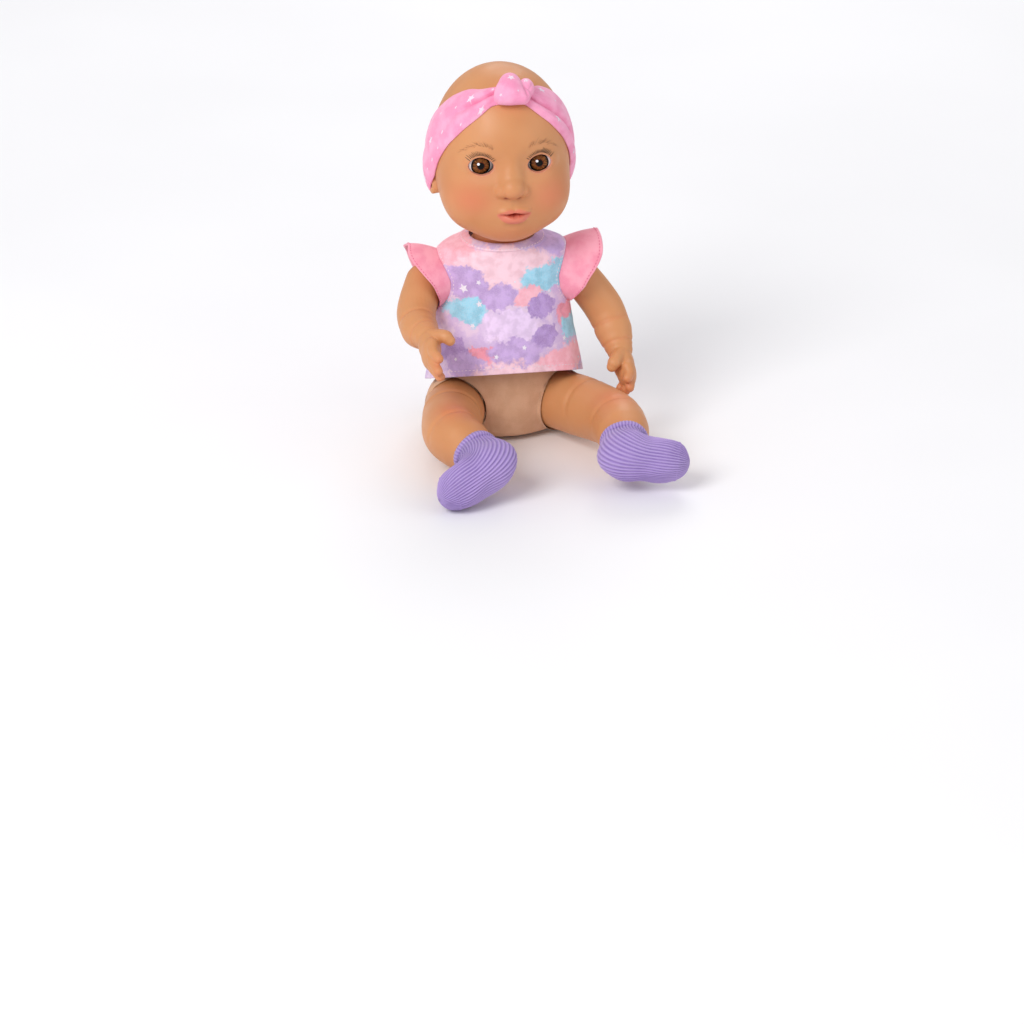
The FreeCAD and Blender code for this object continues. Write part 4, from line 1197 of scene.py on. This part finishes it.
def torso_mesh():
    """The stuffed cloth body, with its seams, wrinkles and a hollow for each leg."""
    around, up = 200, 150
    dense = curve_through(BODY_SECTIONS, 400)
    z = np.r_[np.linspace(0.4, 8, 16)[:-1], np.linspace(8, 143.4, up - 15)]
    zz, pp = grid(z, np.linspace(-math.pi, math.pi, around, endpoint=False))
    half_x, half_y, middle = [np.interp(zz, dense[:, 0], dense[:, k]) for k in (1, 2, 3)]
    wrinkle = 0.35 * np.sin(9 * pp + 0.08 * zz) + 0.3 * np.sin(0.35 * zz + 4 * pp)
    seam = -0.45 * bump((np.sin(pp) * 20) ** 2) - 0.4 * bump((np.cos(pp) * 22) ** 2)
    x = (half_x + wrinkle * 0.5 + seam) * np.sin(pp)
    y = middle - (half_y + wrinkle * 0.5 + seam) * np.cos(pp)
    points = np.stack([x, y, zz], -1).reshape(-1, 3)
    count = len(points)
    points = np.vstack([points, [[0, 5, 0.4], [0, -2, 143.4]]])
    faces = [tuple(f)[::-1] for f in grid_faces(len(z), around)]
    faces += [(c, (c + 1) % around, count) for c in range(around)]
    last = (len(z) - 1) * around
    faces += [(last + (c + 1) % around, last + c, count + 1) for c in range(around)]
    for side in SIDES:
        path = curve_through(LEG_PATHS[side], 60)[:30]
        distance = np.linalg.norm(points[:, None, :] - path[None, :, :], axis=2)
        nearest = distance.argmin(1)
        close = distance[np.arange(len(points)), nearest]
        inside = close < LEG_HOLLOW
        hub = path[nearest[inside]]
        points[inside] = hub + (points[inside] - hub) * (LEG_HOLLOW / close[inside])[:, None]
    points[:, 2] = np.maximum(points[:, 2], 0.15)
    torso = make_mesh("torso_cloth_skin", points, faces)
    set_vector(torso, "print_place", verts_mm(torso))
    return torso


# ---------------------------------------------------------------- materials
def linear(r, g, b):
    """Colour from 0-255 sRGB."""
    return tuple(((c / 255) / 12.92 if c / 255 <= 0.04045 else ((c / 255 + 0.055) / 1.055) ** 2.4)
                 for c in (r, g, b)) + (1.0,)


def shifted(colour, step):
    """The 0-255 colour made lighter or darker by a step."""
    return linear(*[min(255, max(0, c + step)) for c in colour])


class Paint:
    """A small builder for node materials."""

    def __init__(self, name, roughness=0.5, **sockets):
        self.material = bpy.data.materials.new(name)
        self.material.use_nodes = True
        self.tree = self.material.node_tree
        self.shader = self.tree.nodes["Principled BSDF"]
        self.shader.inputs["Roughness"].default_value = roughness
        for key, value in sockets.items():
            self.shader.inputs[key.replace("_", " ")].default_value = value

    def node(self, kind, **settings):
        node = self.tree.nodes.new("ShaderNode" + kind)
        for key, value in settings.items():
            setattr(node, key, value)
        return node

    def wire(self, a, b):
        self.tree.links.new(a, b)

    def place(self):
        return self.node("TexCoord").outputs["Object"]

    def attribute(self, name, output="Fac"):
        return self.node("Attribute", attribute_name=name).outputs[output]

    def noise(self, scale, detail=2.0, where=None, colour=False):
        n = self.node("TexNoise")
        n.inputs["Scale"].default_value = scale
        n.inputs["Detail"].default_value = detail
        self.wire(where or self.place(), n.inputs["Vector"])
        return n.outputs["Color" if colour else "Fac"]

    def wave(self, scale, where, direction, distortion):
        w = self.node("TexWave", bands_direction=direction)
        w.inputs["Scale"].default_value = scale
        w.inputs["Distortion"].default_value = distortion
        self.wire(where, w.inputs["Vector"])
        return w.outputs["Fac"]

    def feed(self, socket, value):
        """Sets a socket to a value, or wires an output into it."""
        if isinstance(value, (int, float, tuple)):
            socket.default_value = value
        else:
            self.wire(value, socket)

    def math(self, operation, a, b):
        m = self.node("Math", operation=operation)
        self.feed(m.inputs[0], a)
        self.feed(m.inputs[1], b)
        return m.outputs[0]

    def vector(self, operation, a, b):
        m = self.node("VectorMath", operation=operation)
        self.feed(m.inputs[0], a)
        self.feed(m.inputs[1], b)
        return m.outputs["Value" if operation == "LENGTH" else 0]

    def scaled(self, a, factor):
        m = self.node("VectorMath", operation="SCALE")
        self.feed(m.inputs[0], a)
        m.inputs["Scale"].default_value = factor
        return m.outputs[0]

    def ramp(self, value, low, high, a=0.0, b=1.0):
        m = self.node("MapRange", interpolation_type="SMOOTHSTEP")
        for name, number in (("From Min", low), ("From Max", high), ("To Min", a), ("To Max", b)):
            m.inputs[name].default_value = number
        self.wire(value, m.inputs["Value"])
        return m.outputs["Result"]

    def mix(self, factor, a, b):
        m = self.node("Mix", data_type="RGBA")
        for key, value in (("Factor", factor), ("A", a), ("B", b)):
            self.feed([s for s in m.inputs if s.name == key and s.enabled][0], value)
        return [s for s in m.outputs if s.enabled][0]

    def colour(self, value):
        self.wire(value, self.shader.inputs["Base Color"])

    def mottle(self, noise_scale, detail, half_range, one, other):
        """Colours the paint with two tones that a noise mixes."""
        tone = self.ramp(self.noise(noise_scale, detail), 0.5 - half_range, 0.5 + half_range)
        self.colour(self.mix(tone, one, other))

    def bump(self, height, distance, strength=1.0):
        b = self.node("Bump")
        b.inputs["Distance"].default_value = distance
        b.inputs["Strength"].default_value = strength
        self.wire(height, b.inputs["Height"])
        self.wire(b.outputs["Normal"], self.shader.inputs["Normal"])

    def roughness(self, value, low, high):
        self.wire(self.ramp(value, 0.3, 0.7, low, high), self.shader.inputs["Roughness"])


def skin_material():
    p = Paint("vinyl_skin_paint", 0.47, Subsurface_Weight=0.10, Subsurface_Scale=0.004,
              Specular_IOR_Level=0.42)
    p.shader.inputs["Subsurface Radius"].default_value = (1.0, 0.35, 0.15)
    where = p.place()
    cloudy = p.noise(24, 2, where)
    base = p.mix(p.ramp(cloudy, 0.35, 0.65), linear(203, 137, 88), linear(210, 146, 97))
    base = p.mix(p.math("MULTIPLY", p.attribute("warm"), 0.35), base, linear(203, 128, 88))
    # Blush on the cheeks, nose, knees and fingertips, with painted shade under the chin, down the neck and in
    # the elbow and wrist creases.
    base = p.mix(p.math("MULTIPLY", p.attribute("blush_and_shade"), 0.75), base, linear(219, 112, 84))
    base = p.mix(p.attribute("lips"), base, linear(216, 122, 98))
    base = p.mix(p.attribute("mouth"), base, linear(176, 44, 24))
    # Painted shade in the nostrils.
    base = p.mix(p.attribute("nostril_shade"), base, linear(150, 66, 38))
    base = p.mix(p.attribute("rim"), base, linear(214, 140, 112))
    p.colour(base)
    fine = p.noise(2600, 2, where)
    p.bump(p.math("ADD", p.math("MULTIPLY", fine, 0.4), p.noise(320, 2, where)), 0.00006, 0.5)
    p.roughness(p.noise(90, 3, where), 0.43, 0.53)
    return p.material


CORAL, ROSE, BLUSH = (246, 170, 184), (230, 136, 156), (240, 194, 206)
LILAC, VIOLET, MIST, SKY = (186, 154, 208), (166, 132, 194), (222, 196, 230), (140, 202, 224)
# The cloudy print from the shoulders down: height of a row, then each cloud's place across,
# half width and colour
PRINT_ROWS = [
    (140, [(-40, 20, CORAL), (30, 15, LILAC)]),
    (130, [(0, 35, BLUSH)]),
    (120, [(-30, 15, LILAC), (30, 20, SKY)]),
    (110, [(-10, 15, LILAC), (15, 10, CORAL)]),
    (100, [(-30, 15, SKY), (25, 10, VIOLET)]),
    (90, [(0, 20, MIST), (45, 10, ROSE)]),
    (80, [(25, 10, VIOLET), (50, 10, SKY)]),
    (70, [(-40, 10, VIOLET), (-20, 10, ROSE), (5, 20, LILAC)]),
]
PRINT_REPEAT = 80          # the rows come again this far down, the other way round
PRINT_EDGE = 0.12          # softness of a cloud's edge, as a share of its size


def print_clouds():
    """Middle, half width and half height of each cloud, and its colour."""
    for shift, way in ((0, 1), (PRINT_REPEAT, -1)):
        for height, row in PRINT_ROWS:
            for across, half_width, colour in row:
                yield (way * across, height - shift, 0), (half_width, 5 + 0.3 * half_width), colour


def dress_material():
    """The cloudy print: its clouds have ragged edges, because noise shifts where each point reads them."""
    p = Paint("dress_print_paint", 0.88, Sheen_Weight=0.25, Sheen_Roughness=0.5, Specular_IOR_Level=0.25)
    flat = p.attribute("print_place", "Vector")
    wide = p.scaled(p.vector("SUBTRACT", p.noise(0.085, 3, flat, True), (0.5, 0.5, 0.5)), 17.0)
    fine = p.scaled(p.vector("SUBTRACT", p.noise(0.42, 1, flat, True), (0.5, 0.5, 0.5)), 6.5)
    warped = p.vector("ADD", p.vector("ADD", flat, wide), fine)
    depth = p.node("SeparateXYZ")
    p.wire(warped, depth.inputs[0])
    flat_only = p.node("CombineXYZ")
    p.wire(depth.outputs[0], flat_only.inputs[0])
    p.wire(depth.outputs[1], flat_only.inputs[1])
    soft = p.noise(0.12, 3, flat)
    base = p.mix(p.ramp(soft, 0.40, 0.62), linear(208, 180, 222), linear(229, 203, 228))
    for middle, (half_width, half_height), colour in print_clouds():
        local = p.vector("MULTIPLY", p.vector("SUBTRACT", flat_only.outputs[0], middle),
                         (1 / half_width, 1 / half_height, 1))
        inside = p.ramp(p.vector("LENGTH", local, (0, 0, 0)), 1.0 + PRINT_EDGE, 1.0 - PRINT_EDGE)
        shade = p.mix(p.ramp(p.noise(0.16, 2, flat), 0.35, 0.65), linear(*colour), shifted(colour, 20))
        base = p.mix(inside, base, shade)
    mottled = p.noise(1.4, 3, flat)
    base = p.mix(p.ramp(mottled, 0.3, 0.75, 0.0, 0.22), base, linear(240, 226, 240))
    p.colour(base)
    knit(p, flat)
    return p.material


def knit(p, flat, scale=1.0):
    """Fine jersey stitches: columns of small loops."""
    columns = p.wave(0.62 * scale, flat, "X", 0.6)
    rows = p.wave(0.80 * scale, flat, "Y", 0.9)
    height = p.math("ADD", p.math("MULTIPLY", columns, 0.6), p.math("MULTIPLY", rows, 0.4))
    height = p.math("ADD", height, p.math("MULTIPLY", p.noise(3.0, 2, flat), 0.7))
    p.bump(height, 0.00012, 0.8)
    p.roughness(p.noise(0.9, 3, flat), 0.80, 0.95)


def jersey_material(name, light, dark, stored_place=False, scale=1.0, sheen=0.25):
    """Plain jersey, laid out in millimetres from the object's own place or from one stored on it."""
    p = Paint(name, 0.88, Sheen_Weight=sheen, Sheen_Roughness=0.5, Specular_IOR_Level=0.25)
    flat = p.attribute("print_place", "Vector") if stored_place else p.scaled(p.place(), 1 / MM)
    tone = p.ramp(p.noise(0.10, 3, flat), 0.35, 0.65)
    base = p.mix(tone, linear(*dark), linear(*light))
    speck = p.ramp(p.noise(2.6, 2, flat), 0.35, 0.7, 0.0, 0.20)
    base = p.mix(speck, base, shifted(light, 26))
    p.colour(base)
    knit(p, flat, scale)
    return p.material


def sock_material():
    p = Paint("sock_knit_paint", 0.9, Sheen_Weight=0.25, Sheen_Roughness=0.5, Specular_IOR_Level=0.2)
    flat = p.attribute("print_place", "Vector")
    # Painted shade in the valleys between the ribs and painted light on their crests, from the rib mask.
    base = p.mix(p.attribute("rib"), linear(140, 115, 180), linear(186, 162, 216))
    base = p.mix(p.ramp(p.noise(0.15, 3, flat), 0.35, 0.65, 0.0, 0.3), base, linear(176, 150, 208))
    p.colour(base)
    loops = p.wave(0.55, flat, "Y", 1.2)
    p.bump(p.math("ADD", p.math("MULTIPLY", loops, 0.7), p.noise(2.2, 2, flat)), 0.00016, 0.8)
    return p.material


def thread_material(name, colour):
    p = Paint(name, 0.7, Sheen_Weight=0.2)
    p.mottle(900, 2, 0.15, linear(*colour), shifted(colour, -18))
    p.bump(p.noise(2500, 1), 0.00004, 0.5)
    return p.material


def star_material(name, colour):
    p = Paint(name, 0.85, Sheen_Weight=0.2, Specular_IOR_Level=0.25)
    p.mottle(1500, 2, 0.2, linear(*colour), shifted(colour, -22))
    p.bump(p.noise(1800, 2), 0.00008, 0.7)
    return p.material


def eye_material():
    """Painted eye: white with painted shade at its edges, black limbal ring, brown iris with amber spokes,
    pupil and skin-coloured lid.
    """
    p = Paint("eye_paint", 0.25, Specular_IOR_Level=0.12)
    r = p.attribute("radial")
    spokes = p.attribute("spokes", "Vector")
    streak = p.noise(1.6, 3, spokes)
    # The white darkens away from the iris: painted shade towards the corners of the eye.
    white = p.mix(p.ramp(r, 1.0, 1.6), linear(226, 214, 212), linear(205, 178, 172))
    iris = p.mix(p.ramp(streak, 0.36, 0.62), linear(52, 25, 12), linear(142, 86, 40))
    inner = p.mix(p.ramp(streak, 0.4, 0.6), linear(62, 22, 11), linear(122, 54, 28))
    iris = p.mix(p.ramp(r, 0.52, 0.40), iris, inner)
    outer = p.math("MULTIPLY", p.ramp(r, 0.72, 0.86), p.ramp(streak, 0.62, 0.45))
    iris = p.mix(outer, iris, linear(40, 18, 8))
    colour = p.mix(p.ramp(r, 0.99, 1.03), iris, white)
    ring = p.math("MULTIPLY", p.ramp(r, 0.84, 0.89), p.ramp(r, 1.06, 1.01))
    colour = p.mix(ring, colour, linear(14, 10, 9))
    colour = p.mix(p.ramp(r, 0.40, 0.35), colour, linear(10, 8, 9))
    p.colour(p.mix(p.attribute("lid"), colour, linear(206, 142, 93)))
    return p.material


def glint_material():
    p = Paint("eye_glint_paint", 0.2)
    p.mottle(700, 1, 0.2, linear(250, 250, 252), linear(238, 240, 246))
    return p.material


def plain_material(name, colour, roughness, grain, metal, scale):
    """Moulded or metal inner parts: slight tone changes and a fine grain."""
    p = Paint(name, roughness, Metallic=metal)
    p.mottle(scale / 12, 3, 0.2, tuple(c * 0.82 for c in colour) + (1.0,), colour + (1.0,))
    p.bump(p.noise(scale, 3), grain, 0.6)
    p.roughness(p.noise(scale / 6, 3), roughness * 0.85, min(1.0, roughness * 1.15))
    return p.material


def hair_material(name, colour):
    p = Paint(name, 0.55)
    p.mottle(1200, 1, 0.2, linear(*colour), shifted(colour, 20))
    return p.material


# ---------------------------------------------------------------- build the doll
def paint(obj, material):
    obj.data.materials.clear()
    obj.data.materials.append(material)


SKIN = skin_material()
DRESS = dress_material()
SLEEVE = jersey_material("sleeve_paint", (255, 172, 190), (247, 148, 172))
BAND = jersey_material("headband_paint", (251, 170, 202), (243, 146, 184))
SOCK = sock_material()
BODY_CLOTH = jersey_material("body_cloth_paint", (218, 172, 138), (209, 161, 127), True, 0.8, 0.15)
THREAD = thread_material("thread_pale_paint", (250, 232, 240))
PINK_THREAD = thread_material("thread_pink_paint", (240, 118, 156))
STAR = star_material("star_paint", (250, 224, 240))
DRESS_STAR = star_material("dress_star_paint", (246, 238, 248))
LASH = hair_material("lash_paint", (34, 21, 15))
BROW = hair_material("brow_paint", (176, 120, 78))


def add(obj, body, material, slot, *replaced):
    """Paints a piece, sets the body it rides on and hides the CAD nodes it stands for; its slot is not used."""
    paint(obj, material)
    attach(obj, body)
    if replaced:
        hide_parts(*replaced)
    return obj


head = head_mesh()
paint_head(head)
add(head, "head", SKIN, "vinyl_skin", "head_shell")
EYE_PAINT = eye_material()
GLINT = glint_material()
for side in SIDES:
    add(eye_mesh(side), "eye_" + side, EYE_PAINT, "eye_white",
        "eyeball_" + side, "iris_lens_" + side, "eyelid_" + side)
    add(glint(side), "eye_" + side, GLINT, "eye_iris")
    add(lashes(side), "head", LASH, "vinyl_skin")
    add(brow(side), "head", BROW, "vinyl_skin")

band = add(headband_mesh(), "head", BAND, "band_pink", "headband")
band_star = add(band_stars(), "head", STAR, "band_pink")
knot = add(knot_mesh(), "head", BAND, "band_pink", "headband_knot")
knot_star = add(knot_stars(), "head", STAR, "band_pink")

dress = add(dress_mesh(), "torso", DRESS, "dress_print", "dress")
binding = add(binding_mesh(), "torso", DRESS, "dress_binding", "neck_binding")
dress_thread = add(dress_stitches(), "torso", THREAD, "dress_print")
dress_star = add(dress_stars(), "torso", DRESS_STAR, "dress_print")
socks, cuffs, sleeves = {}, {}, {}
for side in SIDES:
    add(arm_mesh(side), "arm_" + side, SKIN, "vinyl_skin", "arm_" + side)
    add(leg_mesh(side), "leg_" + side, SKIN, "vinyl_skin", "leg_" + side)
    socks[side] = add(sock_mesh(side), "leg_" + side, SOCK, "sock_knit", "sock_" + side)
    cuffs[side] = add(cuff_mesh(side), "leg_" + side, SOCK, "sock_knit", "sock_cuff_" + side)
    sleeve = sleeve_mesh(side)
    thread = sleeve_stitches(side)
    for piece, material in ((sleeve, SLEEVE), (thread, PINK_THREAD)):
        paint(piece, material)
        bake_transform(piece)
    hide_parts("sleeve_" + side)
    sleeves[side] = (sleeve, thread)
torso = add(torso_mesh(), "torso", BODY_CLOTH, "body_cloth", "torso_cloth")

# ---------------------------------------------------------------- carried-over CAD nodes
# Colour, roughness, depth of the grain, metal and scale of the grain
INNER = {
    "steel": (0.62, 0.62, 0.64, 0.28, 0.00001, 1.0, 2400),
    "holder_plastic": (0.85, 0.84, 0.80, 0.5, 0.00002, 0.0, 1400),
    "fibre_fill": (0.93, 0.93, 0.92, 0.95, 0.0008, 0.0, 300),
    "tie_nylon": (0.90, 0.90, 0.88, 0.45, 0.00004, 0.0, 1800),
    "case_plastic": (0.92, 0.92, 0.92, 0.5, 0.00002, 0.0, 1600),
    "button_plastic": (0.93, 0.55, 0.70, 0.4, 0.00001, 0.0, 1600),
    "board": (0.10, 0.38, 0.20, 0.35, 0.00002, 0.0, 900),
    "chip": (0.05, 0.05, 0.06, 0.45, 0.00001, 0.0, 2500),
    "paper_cone": (0.12, 0.12, 0.13, 0.9, 0.00005, 0.0, 1800),
    "hook_loop": (0.92, 0.90, 0.92, 0.95, 0.0003, 0.0, 1500),
}
inner_paint = {}
slots = {part["node"]: part["material_slot"] for part in frame["record"]["subparts"]}
for node, obj in frame["nodes"].items():
    kind = slots.get(node)
    if kind not in INNER:
        continue
    if kind not in inner_paint:
        inner_paint[kind] = plain_material(kind + "_paint", INNER[kind][:3], *INNER[kind][3:])
    for place in obj.material_slots:
        place.material = inner_paint[kind]

# ---------------------------------------------------------------- floor, light and camera
FLOOR_HALF, FLOOR_LEVEL = 4000, -0.3
floor_corners = [(FLOOR_HALF * a, FLOOR_HALF * b, FLOOR_LEVEL)
                 for a, b in ((-1, -1), (1, -1), (1, 1), (-1, 1))]
floor = make_mesh("floor", floor_corners, [(0, 1, 2, 3)], False)
floor_paint = Paint("floor_paint", 0.85)
floor_paint.mottle(3, 2, 0.2, linear(244, 243, 244), linear(247, 246, 247))
paint(floor, floor_paint.material)


def light(name, place, aim, power, size):
    """A square soft light at a place, turned towards its aim."""
    lamp = bpy.data.lights.new(name, "AREA")
    lamp.energy = power
    lamp.size = size
    obj = bpy.data.objects.new(name, lamp)
    bpy.context.scene.collection.objects.link(obj)
    obj.location = place
    obj.rotation_euler = (Vector(aim) - Vector(place)).to_track_quat("-Z", "Y").to_euler()


light("key", (-1.3, -1.3, 1.6), (0, 0, 0.14), 33, 1.1)
light("fill", (1.7, -1.1, 0.9), (0, 0, 0.14), 7, 1.6)
light("back", (0.4, 1.6, 1.5), (0, 0, 0.16), 14, 1.2)

world = bpy.data.worlds.new("studio")
bpy.context.scene.world = world
world.use_nodes = True
world.node_tree.nodes["Background"].inputs["Color"].default_value = (0.93, 0.94, 0.97, 1)
world.node_tree.nodes["Background"].inputs["Strength"].default_value = 0.56

PITCH, AZIMUTH = math.radians(25), math.radians(-9)
DISTANCE, LENS, SENSOR = 2.7, 139.6, 36.0
BESIDE, ABOVE = 0.0127, 0.4395      # the crown's place from the picture's middle, as shares of its width
away = Vector((math.sin(AZIMUTH) * math.cos(PITCH), -math.cos(AZIMUTH) * math.cos(PITCH), math.sin(PITCH)))
right = Vector((math.cos(AZIMUTH), math.sin(AZIMUTH), 0))
up = Vector((-math.sin(AZIMUTH) * math.sin(PITCH), math.cos(AZIMUTH) * math.sin(PITCH), math.cos(PITCH)))
picture = DISTANCE / (LENS / SENSOR)      # width of the picture at the doll, in metres
camera = bpy.data.cameras.new("camera")
camera.lens = LENS
camera.sensor_width = SENSOR
camera.clip_end = 20
camera_object = bpy.data.objects.new("camera", camera)
bpy.context.scene.collection.objects.link(camera_object)
crown = Vector((0, 0.008, 0.266))
camera_object.matrix_world = Matrix((
    (right.x, up.x, away.x, 0), (right.y, up.y, away.y, 0), (right.z, up.z, away.z, 0), (0, 0, 0, 1)))
camera_object.location = crown + right * (picture * BESIDE) - up * (picture * ABOVE) + away * DISTANCE
bpy.context.scene.camera = camera_object
bpy.context.scene.view_settings.view_transform = "Standard"
